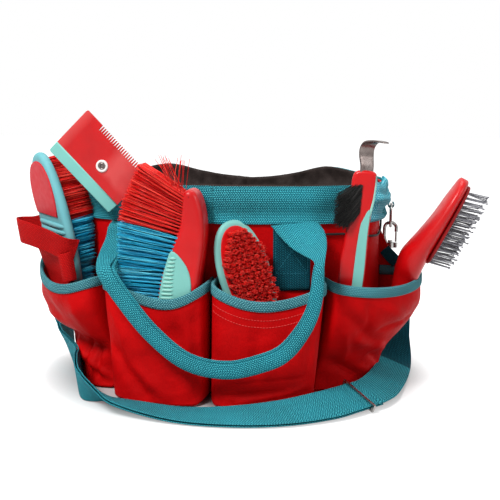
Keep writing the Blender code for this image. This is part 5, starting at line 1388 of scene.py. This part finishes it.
def ground():
    """Ground that keeps the shadow close to the bag and is white further out."""
    look = Look("plain_floor", 0.9, spec=0.1)
    x, y = look.parts("Object")
    across = x.math("DIVIDE", 0.196)
    ahead = y.math("DIVIDE", 0.176)
    # The mid-grey base shows only near the bag, where the glow is off; it is darker than a pale floor to
    # deepen the shade there, a painted shade.
    look.fix({"Base Color": (0.5, 0.5, 0.5, 1), "Emission Color": (1, 1, 1, 1)})
    beyond = (across * across + ahead * ahead).ramp(0.85, 1.5)
    look.drive("Emission Strength", seen_directly(look.tree) * beyond)
    mesh = bpy.data.meshes.new("floor")
    corners = [(x * FLOOR_HALF, y * FLOOR_HALF, FLOOR_Z) for x, y in ((-1, -1), (1, -1), (1, 1), (-1, 1))]
    mesh.from_pydata(corners, [], [(0, 1, 2, 3)])
    mesh.materials.append(look.material)
    obj = bpy.data.objects.new("floor", mesh)
    bpy.context.scene.collection.objects.link(obj)


def surroundings():
    """White to the camera and in reflections, dimmer as light."""
    world = bpy.data.worlds.new("studio")
    bpy.context.scene.world = world
    world.use_nodes = True
    tree = world.node_tree
    back = tree.nodes["Background"]
    blend = seen_directly(tree).ramp(0.0, 1.0, 0.25, 1.0)
    tree.links.new(blend.socket, back.inputs["Strength"])
    back.inputs["Color"].default_value = (1, 1, 1, 1)


def stage():
    """Floor, surroundings, three area lamps and the camera."""
    scene = bpy.context.scene
    ground()
    surroundings()
    for name, place, aim, size, power in (("key", (-0.55, -1.15, 1.45), (0, 0, 0.1), 0.5, 33),
                                          ("fill", (1.3, -0.7, 0.8), (0.1, 0, 0.1), 0.7, 6),
                                          ("top", (0.1, 0.4, 1.6), (0, 0, 0.1), 0.8, 9)):
        lamp = bpy.data.lights.new(name, "AREA")
        lamp.energy = power
        lamp.size = size
        obj = bpy.data.objects.new(name, lamp)
        obj.location = place
        obj.rotation_euler = (Vector(aim) - Vector(place)).to_track_quat("-Z", "Y").to_euler()
        scene.collection.objects.link(obj)
    lens = bpy.data.cameras.new("camera")
    lens.lens = LENS_MM
    lens.sensor_width = 36
    cam = bpy.data.objects.new("camera", lens)
    spot = Vector((math.sin(CAMERA_TURN), -math.cos(CAMERA_TURN), CAMERA_HEIGHT))
    cam.location = spot
    cam.rotation_euler = (CAMERA_AIM - spot).to_track_quat("-Z", "Y").to_euler()
    scene.collection.objects.link(cam)
    scene.camera = cam
    scene.view_settings.view_transform = "Standard"


stage()
body_and_rim()
right_end()
for pocket_name in POCKETS:
    pocket(pocket_name)
handles()
anchors()
straps()
dandy_brush()
mane_comb()
body_brush()
face_brush()
hoof_pick()
pin_brush()
small_trim()
repaint(STEEL, "ring_left", "ring_right", "snap_hook_left", "snap_hook_right", "hook_gate_left",
        "hook_gate_right", "swivel_eye_left", "swivel_eye_right", "strap_slider")
repaint(BOARD, "base_board")
